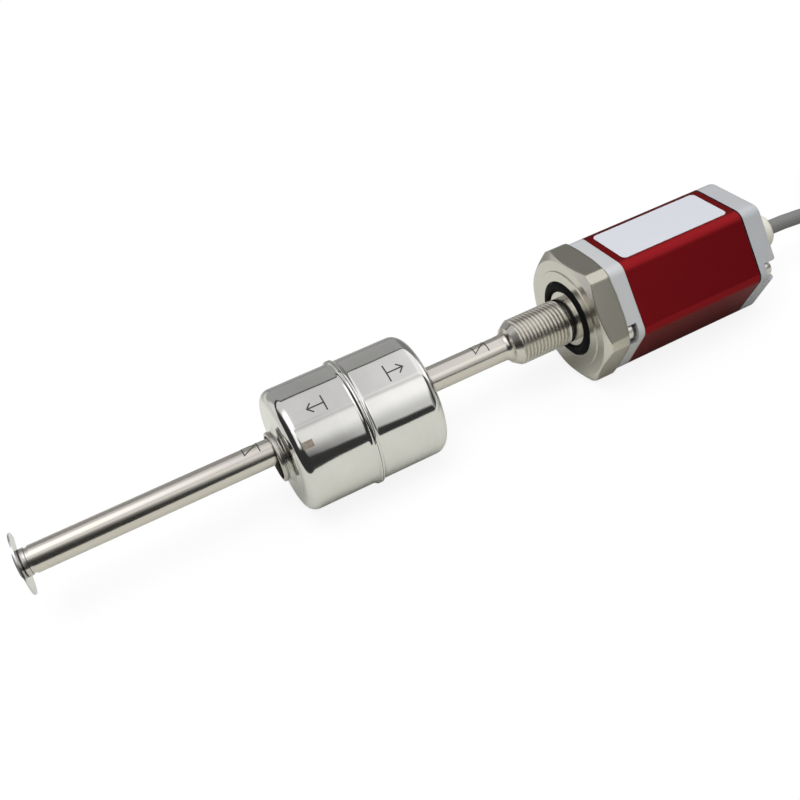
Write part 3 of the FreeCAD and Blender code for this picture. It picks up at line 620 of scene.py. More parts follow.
class Form:
    """A mesh in the making. All its sizes and places are given in millimetres."""

    def __init__(self) -> None:
        """Starts empty."""
        self.mesh = bmesh.new()

    def ring(self, points: Iterable[Sequence[float]]) -> Ring:
        """Adds a vertex at each of the points."""
        return [self.mesh.verts.new(metres(point)) for point in points]

    def bridge(self, rings: Sequence[Ring], finish: int = 0, capped: bool = True) -> None:
        """Puts faces between rings of vertices that follow each other.

        Args:
            rings: The rings, each as long as the next.
            finish: The number of the faces' finish.
            capped: Whether the first ring and the last are closed with a face.
        """
        for first, second in zip(rings, rings[1:]):
            for i in range(len(first)):
                j = (i + 1) % len(first)
                self.mesh.faces.new((first[i], first[j], second[j], second[i])).material_index = finish
        for end in (rings[0], rings[-1]) if capped else ():
            self.mesh.faces.new(end).material_index = finish

    def tube(self, path: Sequence[Point], radii: Sequence[float], sides: int, finish: int) -> None:
        """Sweeps a round section along a path and closes its ends.

        Args:
            path: Points of the path.
            radii: The radius at each point.
            sides: The number of sides.
            finish: The number of the faces' finish.
        """
        points = [Vector(p) for p in path]
        rings = []
        for i, (point, radius) in enumerate(zip(points, radii)):
            along = points[min(i + 1, len(points) - 1)] - points[max(i - 1, 0)]
            across = along.cross(Vector((0.0, 0.0, 1.0))).normalized()
            other = across.cross(along).normalized()
            rings.append(self.ring(point + (across * cos(t) + other * sin(t)) * radius for t in turns(sides)))
        self.bridge(rings, finish)

    def lathe(self, profile: Sequence[Pair], axis_z: float, sides: int) -> None:
        """Turns a closed profile, given as places along X and radii, round an axis at the height axis_z."""
        rings = [self.ring((x, r * sin(t), axis_z + r * cos(t)) for x, r in profile) for t in turns(sides)]
        self.bridge([*rings, rings[0]], capped=False)

    def block(self, low: Point, high: Point, bevel: float) -> None:
        """Adds a block with bevelled edges.

        Args:
            low: Its low corner.
            high: Its high corner.
            bevel: The bevel's width.
        """
        size, middle = Vector(high) - Vector(low), (Vector(high) + Vector(low)) / 2
        made = bmesh.ops.create_cube(self.mesh, size=1.0, matrix=Matrix.LocRotScale(middle * MM, None, size * MM))
        edges = {edge for vert in made["verts"] for edge in vert.link_edges}
        bmesh.ops.bevel(self.mesh, geom=list(edges), offset=bevel * MM, segments=2, affect="EDGES", profile=0.5)

    def ribbon(self, line: Sequence[Pair], width: float, radius: float, axis_z: float = 0.0, closed: bool = False,
               strips: int = 1) -> None:
        """Lays a thin raised stroke on a round bar that runs along X.

        Args:
            line: Its points as distance along the bar and angle from the top towards -Y in degrees.
            width: The stroke's width.
            radius: The bar's radius.
            axis_z: The height of the bar's axis.
            closed: Whether the last point goes back to the first.
            strips: The number of strips across, more than one where a wide stroke bends with the bar.
        """
        flat = [Vector((x, radians(a) * radius)) for x, a in line]
        count = len(flat)
        sides: list[tuple[Vector, Vector]] = []
        for i, point in enumerate(flat):
            before = flat[(i - 1) % count] if closed or i else point
            after = flat[(i + 1) % count] if closed or i < count - 1 else point
            ways = [way.normalized() for way in (point - before, after - point) if way.length]
            way = sum(ways, Vector((0.0, 0.0))).normalized()
            mitre = 1.0 / max(SHARPEST_MITRE, abs(way.dot(ways[0])))
            out = Vector((-way.y, way.x)) * width / 2 * mitre
            sides.append((point + out, point - out))
        if closed:
            sides.append(sides[0])

        def on_bar(spot: Vector, lift: float) -> Point:
            """Bends a flat point onto the bar and lifts it."""
            angle, r = spot.y / radius, radius + lift
            return spot.x, -sin(angle) * r, axis_z + cos(angle) * r

        for first, second in zip(sides, sides[1:]):
            steps = max(2, ceil((second[0] - first[0]).length / STROKE_STEP))
            rings = []
            for k in range(steps + 1):
                left, right = (a.lerp(b, k / steps) for a, b in zip(first, second))
                across = [left.lerp(right, i / strips) for i in range(strips + 1)]
                rings.append(self.ring([on_bar(p, STROKE_LIFT) for p in across]
                                       + [on_bar(p, -STROKE_LIFT) for p in reversed(across)]))
            self.bridge(rings, capped=not closed)

    def settle(self, name: str, finishes: Sequence[Finish], body: Body, slot: str, *stands_for: str,
               sharp: float = 32.0) -> bpy.types.Object:
        """Makes a piece of the mesh, which is done then.

        Args:
            name: The piece's name.
            finishes: The finishes that its faces number.
            body: The body that it moves with.
            slot: The record's material slot.
            stands_for: Nodes of the frame that it is shown in place of.
            sharp: The angle, in degrees, from which an edge stays sharp.

        Returns:
            The piece.
        """
        bmesh.ops.recalc_face_normals(self.mesh, faces=self.mesh.faces[:])
        for face in self.mesh.faces:
            face.smooth = True
        data = bpy.data.meshes.new(name)
        self.mesh.to_mesh(data)
        self.mesh.free()
        carried = data.attributes.get("custom_normal")
        if carried is not None:
            data.attributes.remove(carried)
        data.set_sharp_from_angle(angle=radians(sharp))
        for finish in finishes:
            data.materials.append(finish.material())
        return settle(shown(name, data), body, slot, *stands_for)


# -------------------------------------------------------------- sub-assemblies


@dataclass
class Assembly:
    """A sub-assembly, which finishes nodes of the frame and adds the pieces that are drawn finer than there."""

    frame: Mapping[str, Any]

    def build(self) -> None:
        """Dresses the sub-assembly's nodes and makes its pieces."""
        raise NotImplementedError

    def dress(self, finish: Finish, *nodes: str) -> None:
        """Puts a finish on the frame's own nodes.

        Args:
            finish: The finish.
            nodes: The nodes' names.
        """
        for name in nodes:
            for slot in self.frame["nodes"][name].material_slots:
                slot.material = finish.material()
            LOG.info("node %s has the finish %s", name, finish.name)


@dataclass
class LevelSign:
    """A burnt level sign on the rod: a triangle that points along the rod, with a bar at its point."""

    base: float
    point: float
    bar: float
    half_base: float
    half_bar: float
    angle: float = -10.0
    stroke: float = 0.4

    def draw(self, form: Form, radius: float) -> None:
        """Lays the sign's strokes on a rod.

        Args:
            form: The mesh that takes them.
            radius: The rod's radius.
        """
        base, bar = ([(x, self.angle - half), (x, self.angle + half)]
                     for x, half in ((self.base, self.half_base), (self.bar, self.half_bar)))
        form.ribbon([*base, (self.point, self.angle)], self.stroke, radius, closed=True)
        form.ribbon(bar, self.stroke, radius)


@dataclass
class Rod(Assembly):
    """The measuring rod with its tip plug, the snap ring and the burnt level signs."""

    radius: float = 5.0
    signs: tuple[LevelSign, ...] = (LevelSign(-133.1, -128.2, -127.6, 31.0, 41.0),
                                    LevelSign(-41.1, -36.4, -35.8, 38.0, 50.0))

    def build(self) -> None:
        """Dresses the rod's nodes and burns in the signs."""
        self.dress(ROD_STEEL, "rod_tube")
        self.dress(TIP_STEEL, "end_plug")
        self.dress(RING_STEEL, "stop_ring")
        form = Form()
        for sign in self.signs:
            sign.draw(form, self.radius)
        form.settle("rod_level_signs", [MARK_BURNT], Body.SENSOR, "rod_steel")


@dataclass
class Arrow:
    """A burnt arrow on the float: a foot, a shaft and an open head."""

    foot: float
    point: float
    angle: float
    half_foot: float
    head: float = 1.9
    stroke: float = 0.55

    def draw(self, form: Form, radius: float, axis_z: float) -> None:
        """Lays the arrow's strokes on a float.

        Args:
            form: The mesh that takes them.
            radius: The float's radius.
            axis_z: The height of its axis.
        """
        back = self.point + copysign(self.head, self.foot - self.point)
        wing = degrees(self.head / radius)
        strokes = ([(self.foot, self.angle - self.half_foot), (self.foot, self.angle + self.half_foot)],
                   [(self.foot, self.angle), (self.point, self.angle)],
                   [(back, self.angle - wing), (self.point, self.angle), (back, self.angle + wing)])
        for stroke in strokes:
            form.ribbon(stroke, self.stroke, radius, axis_z)


@dataclass
class FloatShell:
    """One drawn half of the float: a cup whose rim turns out to the weld, and its end to the tube, in hollow curves."""

    node: str
    end: float
    seam: float
    radius: float = 23.1
    wall: float = 0.4
    hole: float = 8.85
    lip_radius: float = 9.42
    lip: float = 1.2
    lip_width: float = 3.6
    lip_steps: int = 8
    corner: float = 4.2
    corner_steps: int = 16
    straight: float = 0.3
    rim: float = 23.95
    rim_width: float = 0.85
    rim_foot: Pair = (0.1, 0.1)
    rim_start: float = 0.25
    rim_bevel: float = 0.12
    hollow: float = 1.6
    hollow_rise: float = 0.5
    hollow_steps: int = 10
    sides: int = 180

    def build(self, axis_z: float) -> None:
        """Makes the shell round an axis at that height.

        Args:
            axis_z: The height of the axis.
        """
        form = Form()
        form.lathe(self._profile(), axis_z, self.sides)
        form.settle(self.node + "_drawn", [FLOAT_STEEL], Body.FLOAT, "float_steel", self.node, sharp=40.0)

    def _profile(self) -> list[Pair]:
        """Gives the cup's section, from its hole along the outside to the weld and back inside.

        Returns:
            The section's points as place along the axis and radius.
        """
        long, round_r = abs(self.seam - self.end), self.radius - self.corner
        quarter = [pi / 2 * k / self.corner_steps for k in range(self.corner_steps + 1)]
        inner = self.corner - self.wall
        reach = sqrt(self.hollow_rise * (2 * self.hollow - self.hollow_rise))
        crest, steep = long - self.rim_width, asin(reach / self.hollow)
        foot = crest - reach
        points = [(0.0, self.hole), (0.0, self.lip_radius)]
        for k in range(self.lip_steps + 1):
            out = k / self.lip_steps
            points.append((-self.lip * (1 - out) ** 2, self.lip_radius + self.lip_width * out))
        points.append((0.0, round_r - self.straight))
        points += [(self.corner * (1 - cos(t)), round_r + self.corner * sin(t)) for t in quarter]
        points += [(self.corner + self.straight, self.radius), (foot - self.straight, self.radius)]
        for k in range(self.hollow_steps + 1):
            t = steep * k / self.hollow_steps
            points.append((foot + self.hollow * sin(t), self.radius + self.hollow * (1 - cos(t))))
        points += [(crest + self.rim_foot[0], self.rim - self.rim_foot[1]), (crest + self.rim_start, self.rim),
                   (long - self.rim_bevel, self.rim), (long, self.rim - self.rim_bevel),
                   (long, self.radius - self.wall)]
        points += [(self.corner - inner * cos(t), round_r + inner * sin(t)) for t in reversed(quarter)]
        points.append((self.wall, self.hole))
        way = copysign(1.0, self.seam - self.end)
        return [(self.end + way * along, r) for along, r in points]


@dataclass
class Float(Assembly):
    """The welded float with its tube, the ring magnet inside and the marks on its halves."""

    radius: float = 23.1
    axis_z: float = FLOAT_AXIS_Z
    shells: tuple[FloatShell, ...] = (FloatShell("float_shell_tip", -119.95, -92.3),
                                      FloatShell("float_shell_head", -64.55, -92.2))
    arrows: tuple[Arrow, ...] = (Arrow(-103.0, -109.3, 24.1, 7.8), Arrow(-78.7, -72.5, 23.2, 8.8))
    patch_x: Pair = (-116.3, -112.2)
    patch_angle: float = 52.1
    patch_width: float = 2.6
    patch_strips: int = 4

    def build(self) -> None:
        """Dresses the float's nodes, draws its halves and burns in its marks."""
        self.dress(COLLAR_STEEL, "float_tube")
        for shell in self.shells:
            shell.build(self.axis_z)
        self.dress(MAGNET_FERRITE, "float_magnet")
        self.dress(SPRING_STEEL, "magnet_clips")
        form = Form()
        for arrow in self.arrows:
            arrow.draw(form, self.radius, self.axis_z)
        form.settle("float_arrows", [MARK_BURNT], Body.FLOAT, "float_steel")
        form = Form()
        form.ribbon([(x, self.patch_angle) for x in self.patch_x], self.patch_width, self.radius, self.axis_z,
                    strips=self.patch_strips)
        form.settle("float_burnt_patch", [PATCH_BURNT], Body.FLOAT, "float_steel")


@dataclass
class Flange(Assembly):
    """The hexagon flange with its threaded stud, the seal in its face and the ring nut behind it.

    Pairs are a place along X and a radius. A vertex within near, or near_out across the axis, counts as there.
    """

    thread_radius: float = 9.0
    pitch: float = 1.5
    depth: float = 0.92
    crest: float = 0.16
    root: float = 0.2
    nose: Pair = (-26.6, 7.0)
    cone_end: float = -23.6
    shoulder: float = -3.1
    blank_neck: float = 8.0
    neck_radius: float = 8.85
    weld: Pair = (-27.8, 5.35)
    weld_round: float = 1.2
    flare_start: float = -30.4
    flare_low: float = 5.03
    flare_high: float = 6.9
    flare_power: float = 3.5
    face: Pair = (0.4, 23.5)
    chamfer_end: float = 3.5
    chamfer_drawn: float = 2.0
    run_out: float = 1.6
    columns: int = 96
    rows: int = 14
    form: Form = field(default_factory=Form)
    near: float = 0.01
    near_out: float = 0.02
    flat_depth: float = 0.2
    flat_lean: float = 0.2

    def build(self) -> None:
        """Cuts the stud's thread into a copy of the flange and dresses what is round it."""
        self.dress(SEAL_RUBBER, "flange_o_ring")
        self.dress(BRASS, "flange_nut")
        mesh = self.form.mesh
        mesh.from_mesh(self.frame["nodes"]["hex_flange"].data)
        bmesh.ops.remove_doubles(mesh, verts=mesh.verts[:], dist=SAME_PLACE)
        taken = [f for f in mesh.faces if all(self._on_blank(v.co) for v in f.verts)]
        bmesh.ops.delete(mesh, geom=taken, context="FACES")
        self._reshape()
        for face in mesh.faces:
            face.material_index = self._skin(face)
        self._cut_thread()
        self.form.settle("threaded_flange", [FLANGE_NICKEL, THREAD_NICKEL, HEX_NICKEL, ROD_STEEL], Body.SENSOR,
                         "flange_metal", "hex_flange", sharp=17.0)

    def _on_blank(self, place: Vector) -> bool:
        """Says whether a point lies on the stud's plain cone, cylinder or shoulder."""
        x, r = along_and_out(place)
        return (self.nose[0] - self.near <= x <= self.shoulder + self.near
                and self.nose[1] - self.near_out <= r <= self.thread_radius + self.near_out)

    def _skin(self, face: bmesh.types.BMFace) -> FlangeSkin:
        """Says which of the flange's surfaces a face of the blank belongs to.

        Args:
            face: The face.

        Returns:
            The surface.
        """
        x, r = along_and_out(face.calc_center_median())
        if x < self.nose[0] - 2 * self.near:
            return FlangeSkin.FLARE
        outside = r > self.face[1] - self.flat_depth and abs(face.normal.x) < self.flat_lean
        return FlangeSkin.HEXAGON if outside else FlangeSkin.TURNED

    def _reshape(self) -> None:
        """Draws the front chamfer shallower, the neck fuller and the weld on the rod longer than the blank's."""
        near, (face, face_r), (weld, weld_r) = self.near, self.face, self.weld
        steep = (self.chamfer_drawn - face) / (self.chamfer_end - face)
        for vert in self.form.mesh.verts:
            x, r = along_and_out(vert.co)
            if r > face_r + near and face < x < self.chamfer_end + near:
                vert.co.x = (face + (x - face) * steep) * MM
            elif abs(r - self.blank_neck) < self.near_out and self.shoulder - near < x < near:
                vert.co.yz *= self.neck_radius / self.blank_neck
            elif x < self.nose[0] + near and weld_r - near < r < weld_r + self.weld_round + near:
                along = x - weld
                up = asin(share(along / self.weld_round)) * 2 / pi
                vert.co.x = (self.flare_start + (self.nose[0] - self.flare_start) * up + min(0.0, along)) * MM
                vert.co.yz *= (self.flare_low + (self.flare_high - self.flare_low) * up ** self.flare_power) / r

    def _envelope(self, x: float) -> float:
        """Gives the radius that the thread stays within.

        Args:
            x: The place along the stud.

        Returns:
            The radius of the cone, the cylinder or the run-out there.
        """
        rise = (x - self.nose[0]) / (self.cone_end - self.nose[0])
        cone = self.nose[1] + (self.thread_radius - self.nose[1]) * rise
        run_out = self.neck_radius + (self.shoulder - x) / self.run_out * (self.thread_radius - self.neck_radius)
        return min(cone, self.thread_radius, run_out)

    def _groove(self, x: float, turn: float) -> float:
        """Gives the thread's radius: crest, flank, root and flank, shallow where it runs out.

        Args:
            x: The place along the stud.
            turn: The share of one turn.

        Returns:
            The radius.
        """
        flank = (1.0 - self.crest - self.root) / 2
        down = share((turn - self.crest) / flank)
        up = share((turn - self.crest - flank - self.root) / flank)
        return self.thread_radius - self.depth * (down - up) * min(1.0, (self.shoulder - x) / self.run_out)

    def _cut_thread(self) -> None:
        """Adds the threaded surface, whose rows follow the helix so that its crests stay crisp."""
        mesh = self.form.mesh
        made = []
        for row in range((ceil((self.shoulder - self.nose[0]) / self.pitch) + 2) * self.rows):
            points = []
            for column, angle in enumerate(turns(self.columns)):
                x = self.nose[0] + (row / self.rows - 1.0 + column / self.columns) * self.pitch
                x = min(self.shoulder, max(self.nose[0], x))
                r = min(self._envelope(x), self._groove(x, row % self.rows / self.rows))
                points.append((x, r * cos(angle), r * sin(angle)))
            made.append(self.form.ring(points))
        for row in range(len(made) - self.rows - 1):
            for column in range(self.columns):
                wrap, step = divmod(column + 1, self.columns)
                other = row + wrap * self.rows
                mesh.faces.new((made[row][column], made[other][step], made[other + 1][step],
                                made[row + 1][column])).material_index = FlangeSkin.THREAD
        loose = [v for ring in made for v in ring if not v.link_faces]
        bmesh.ops.delete(mesh, geom=loose, context="VERTS")
        skin = [v for ring in made for v in ring if v.is_valid]
        bmesh.ops.remove_doubles(mesh, verts=skin, dist=SAME_PLACE)
        for place in (self.nose[0], self.shoulder):
            seam = [e for e in mesh.edges
                    if e.is_boundary and all(abs(v.co.x / MM - place) < self.near for v in e.verts)]
            joined = bmesh.ops.bridge_loops(mesh, edges=seam)
            bmesh.ops.dissolve_degenerate(mesh, dist=SLIVER, edges=joined["edges"])


@dataclass
class CapScrew:
    """A screw with a round socket head, along X. A rounding is its size, and how deep it is in its middle."""

    head_radius: float = 3.5
    head_height: float = 3.7
    head_round: Pair = (0.4, 0.12)
    seat_round: Pair = (0.3, 0.1)
    socket: float = 1.5
    socket_depth: float = 2.0
    socket_edge: float = 0.15
    drill_tip: float = 0.6
    shank_radius: float = 2.0
    shank: float = 15.0
    shank_tip: Pair = (0.6, 0.5)
    middle: float = 0.05
    sides: int = 72

    def add(self, form: Form, seat: float, way: int, y: float) -> None:
        """Adds one screw.

        Args:
            form: The mesh that takes it.
            seat: The place of the head's seat along X.
            way: 1 where the head points to +X and -1 where it points to -X.
            y: The place of its axis.
        """

        def plain(radius: float) -> Callable[[float], float]:
            """Gives a round ring."""
            return lambda turn: radius

        def key(wider: float) -> Callable[[float], float]:
            """Gives a ring in the shape of the key's socket, wider by that much."""
            return lambda turn: self.socket / cos(turn % (pi / 3) - pi / 6) + wider

        top, r, shank_r = self.head_height, self.head_radius, self.shank_radius
        floor = top - self.socket_depth
        head, head_mid = self.head_round
        foot, foot_mid = self.seat_round
        tip, taper = self.shank_tip
        steps = [(floor - self.drill_tip, plain(self.middle)), (floor, key(0.0)), (top - self.socket_edge, key(0.0)),
                 (top, key(self.socket_edge)), (top, plain(r - head)), (top - head_mid, plain(r - head_mid)),
                 (top - head, plain(r)), (foot, plain(r)), (foot_mid, plain(r - foot_mid)), (0.0, plain(r - foot)),
                 (0.0, plain(shank_r)), (tip - self.shank, plain(shank_r)), (-self.shank, plain(shank_r - taper)),
                 (-self.shank, plain(self.middle))]
        form.bridge([form.ring((seat + way * height, y + radius(t) * cos(t), radius(t) * sin(t))
                               for t in turns(self.sides)) for height, radius in steps])


@dataclass
class Housing(Assembly):
    """The red body between its two caps, with gaskets, screws and the bare label."""

    screw: CapScrew = field(default_factory=CapScrew)
    screw_reach: float = 20.785
    front_seat: float = 14.4
    rear_seat: float = 73.9

    def build(self) -> None:
        """Dresses the housing's nodes and makes its screws."""
        self.dress(BODY_RED, "housing_body")
        self.dress(CAP_ALUMINIUM, "front_cap")
        self.dress(SHADED_REAR_ALUMINIUM, "rear_cap")
        self.dress(SEAL_RUBBER, "front_gasket", "rear_gasket")
        self.dress(LABEL_FILM, "name_label")
        form = Form()
        for side in (-1, 1):
            self.screw.add(form, self.front_seat, -1, side * self.screw_reach)
            self.screw.add(form, self.rear_seat, 1, side * self.screw_reach)
        form.settle("socket_cap_screws", [SCREW_STEEL], Body.SENSOR, "screw_steel", "cap_screws")


@dataclass
class Inside(Assembly):
    """What the housing and the rod hold: board, pick-up element and waveguide."""

    finishes: tuple[tuple[Finish, tuple[str, ...]], ...] = (
        (BOARD_LAMINATE, ("circuit_board",)),
        (TERMINAL_PLASTIC, ("terminal_block",)),
        (CHIP_EPOXY, ("board_chips",)),
        (HOLDER_PLASTIC, ("element_holder", "pickup_bobbin")),
        (COPPER, ("coil_winding", "return_wire")),
        (MAGNET_FERRITE, ("bias_magnet",)),
        (BRASS, ("waveguide_anchor", "return_joint")),
        (WIRE_ALLOY, ("waveguide_wire",)),
        (SHEATH_WHITE, ("waveguide_sheath",)),
        (DAMPER_RUBBER, ("damping_sleeve",)),
        (CORE_COLOURS[0], ("inner_cores",)),
    )

    def build(self) -> None:
        """Dresses the nodes inside."""
        for finish, nodes in self.finishes:
            self.dress(finish, *nodes)


@dataclass
class Cable(Assembly):
    """The gland and the grey cable: its sagging lead, the tied coil and the stripped end.

    The coil's lanes are turns, radius and height. The core fan is the way past the jacket's end, and how far the
    cores have spread there.
    """

    nose: float = 95.4
    radius: float = 3.0
    lead: tuple[Point, ...] = ((95.4, 0.0, 0.0), (125.0, 0.0, 0.0), (153.0, -20.0, -5.0))
    coil: Pair = (187.0, 13.0)
    lanes: tuple[Point, ...] = (
        (0.0, 33.0, -5.2), (0.7, 33.0, -5.2), (0.9, 36.0, -11.2), (1.5, 36.0, -11.2), (1.68, 30.0, -11.2),
        (2.36, 30.0, -11.2), (2.55, 30.0, -17.2), (3.25, 30.0, -17.2), (3.42, 36.0, -17.2), (5.0, 36.0, -17.2))
    last_turn: float = 4.1875
    turn_points: int = 16
    smooth: int = 6
    tail: tuple[Point, ...] = ((223.5, 14.0, -16.4), (223.1, 24.0, -16.25), (223.0, 33.0, -16.1))
    length: float = 1.0
    core_gap: float = 1.3
    core_radius: float = 0.6
    core_sides: int = 16
    core_fan: tuple[Pair, ...] = ((-1.5, 0.8), (0.0, 0.85), (3.0, 1.0), (6.0, 1.0), (9.0, 1.0), (9.05, 1.0))
    core_edge: float = 0.08
    core_end: float = 47.0
    strands: int = 7
    strand_start: float = 8.5
    strand_radius: float = 0.13
    strand_sides: int = 8
    strand_ring: float = 0.27
    strand_steps: int = 9
    strand_twist: float = 0.7
    strand_uneven: float = 0.15

    def build(self) -> None:
        """Dresses the gland and lays the cable."""
        self.dress(GLAND_NYLON, "gland_body", "gland_nut")
        self.dress(SEAL_RUBBER, "gland_seal")
        self.dress(CABLE_JACKET, "cable_entry")
        cores = self._cores()
        tie = CableTie().build()
        cord = self._cord()

    def _lane(self, turn: float) -> Pair:
        """Gives the coil's radius and height, eased between the lanes.

        Args:
            turn: The number of turns from the coil's start.

        Returns:
            The radius and the height.
        """
        for first, second in zip(self.lanes, self.lanes[1:]):
            if turn <= second[0]:
                part = (turn - first[0]) / (second[0] - first[0])
                eased = part * part * (3.0 - 2.0 * part)
                return tuple(a + (b - a) * eased for a, b in zip(first[1:], second[1:]))
        return self.lanes[-1][1:]

    def _route(self) -> list[Point]:
        """Gives the cable's control points: the lead, the coil's turns and the tail.

        Returns:
            The points. Those of the coil lie a little outside it, because the spline runs inside its points.
        """
        outside = 1.0 / (0.75 + 0.25 * cos(tau / self.turn_points))
        coil_x, coil_y = self.coil
        points = list(self.lead)
        for k in range(round(self.last_turn * self.turn_points) + 1):
            turn = k / self.turn_points
            radius, z = self._lane(turn)
            angle = tau * turn - pi / 2
            x = coil_x + radius * outside * cos(angle)
            points.append((x, coil_y + radius * outside * sin(angle), z + (x - coil_x) * GROUND_SLOPE))
        return points + list(self.tail)

    def _cord(self) -> bpy.types.Object:
        """Makes the cable as one smooth spline through its route's points.

        Returns:
            The cable.
        """
        curve = bpy.data.curves.new("grey_cable", "CURVE")
        curve.dimensions = "3D"
        curve.bevel_depth = self.radius * MM
        curve.bevel_resolution = self.smooth
        curve.use_fill_caps = True
        spline = curve.splines.new("NURBS")
        route = self._route()
        spline.points.add(len(route) - 1)
        for spot, point in zip(spline.points, route):
            spot.co = (*metres(point), 1.0)
        spline.order_u = 3
        spline.use_endpoint_u = True
        spline.resolution_u = self.smooth
        curve.materials.append(CABLE_JACKET.material())
        return settle(shown("grey_cable", curve), Body.SENSOR, "cable_jacket", "cable", "cable_coil", "cable_tail")

    def _cores(self) -> bpy.types.Object:
        """Makes the four stripped cores, each with a twist of copper strands at its end.

        Returns:
            The piece.
        """
        end_x, end_y, end_z = self.tail[-1]
        radii = [self.core_radius] * (len(self.core_fan) - 1) + [self.core_radius - self.core_edge]
        form = Form()
        for number, (side, high) in enumerate(((-1, -1), (1, -1), (1, 1), (-1, 1))):
            across, up = side * self.core_gap, high * self.core_gap
            path = [(end_x + across * spread, end_y + along, end_z + up * spread) for along, spread in self.core_fan]
            form.tube(path, radii, self.core_sides, number)
            for strand in range(self.strands):
                form.tube(self._strand(strand, end_x + across, end_z + up), [self.strand_radius] * self.strand_steps,
                          self.strand_sides, len(CORE_COLOURS))
        return form.settle("stripped_core_ends", [*CORE_COLOURS, COPPER], Body.SENSOR, "core_insulation",
                           "core_ends")

    def _strand(self, number: int, x: float, z: float) -> list[Point]:
        """Gives the path of one strand: the last runs down the middle and the others wind round it.

        Args:
            number: The strand's number.
            x: The place of its core's axis.
            z: The height of its core's axis.

        Returns:
            Points of the path.
        """
        start = self.tail[-1][1] + self.strand_start
        long = self.core_end - self.strand_uneven * (number % 3) - start
        around = self.strands - 1
        off = self.strand_ring if number < around else 0.0
        path = []
        for k in range(self.strand_steps):
            along = k / (self.strand_steps - 1)
            turn = tau * (number / around + self.strand_twist * along)
            path.append((x + off * cos(turn), start + long * along, z + off * sin(turn)))
        return path


@dataclass
class CableTie:
    """The nylon tie round the coil: a strap with a toothed end that comes out of its head."""

    at: Point = (187.0, 46.0, -11.2)
    half: float = 6.15
    half_height: float = 9.05
    corner: float = 2.6
    corner_steps: int = 8
    width: float = 3.6
    thick: float = 0.85
    bevel: float = 0.15
    head: Point = (5.0, 4.6, 3.4)
    sink: float = 0.3
    cheek: float = 0.7
    cheek_bevel: float = 0.2
    inset: float = 0.6
    sill: float = 0.95
    roof: float = 1.0
    stub: Pair = (-3.5, 6.3)
    stub_width: float = 2.6
    stub_rise: float = 0.85
    tooth_pitch: float = 0.7
    tooth: Pair = (0.75, 1.1)
    tooth_lean: float = 0.06
    form: Form = field(default_factory=Form)

    @property
    def top(self) -> float:
        """The height of the strap's upper side."""
        return self.at[2] + self.half_height + self.thick

    def build(self) -> bpy.types.Object:
        """Makes the tie.

        Returns:
            The piece.
        """
        self._strap()
        self._head()
        self._stub()
        return self.form.settle("coil_tie", [TIE_NYLON], Body.SENSOR, "tie_nylon", "cable_tie", sharp=40.0)

    def _strap(self) -> None:
        """Adds the closed strap, a rounded square with softened edges."""
        x, y, z = self.at
        wide, thick, bevel = self.width / 2, self.thick, self.bevel
        section = [(-wide + bevel, 0.0), (wide - bevel, 0.0), (wide, bevel), (wide, thick - bevel),
                   (wide - bevel, thick), (bevel - wide, thick), (-wide, thick - bevel), (-wide, bevel)]
        rings = []
        for quarter, (side, high) in enumerate(((1, 1), (-1, 1), (-1, -1), (1, -1))):
            middle_y, middle_z = y + side * (self.half - self.corner), z + high * (self.half_height - self.corner)
            for k in range(self.corner_steps + 1):
                turn = (quarter + k / self.corner_steps) * pi / 2
                rings.append(self.form.ring((x + across, middle_y + (self.corner + out) * cos(turn),
                                             middle_z + (self.corner + out) * sin(turn)) for across, out in section))
        self.form.bridge([*rings, rings[0]], capped=False)

    def _head(self) -> None:
        """Adds the head on top of the strap: two cheeks, and a sill and a roof between them."""
        width, long, high = self.head
        x, y, top = self.at[0] - width / 2, self.at[1] - long / 2, self.top
        for start in (0.0, width - self.cheek):
            self.form.block((x + start, y, top - self.sink), (x + start + self.cheek, y + long, top + high),
                            self.cheek_bevel)
        for low, tall in ((-self.sink, self.sill), (high - self.roof, self.roof)):
            self.form.block((x + self.inset, y, top + low), (x + width - self.inset, y + long, top + low + tall),
                            self.bevel)

    def _stub(self) -> None:
        """Adds the cut end of the strap, with its teeth on top."""
        base = self.top + self.stub_rise
        long = self.stub[1] - self.stub[0]
        teeth = round(long / self.tooth_pitch)
        low, high = self.at[0] - self.stub_width / 2, self.at[0] + self.stub_width / 2
        rings = []
        for k in range(teeth + 1):
            start = self.at[1] + self.stub[0] + long * k / teeth
            for y, rise in zip((start, start + self.tooth_lean), self.tooth):
                top = base + rise
                rings.append(self.form.ring(((low, y, base), (high, y, base), (high, y, top), (low, y, top))))
        self.form.bridge(rings)


# ---------------------------------------------------------------------- studio


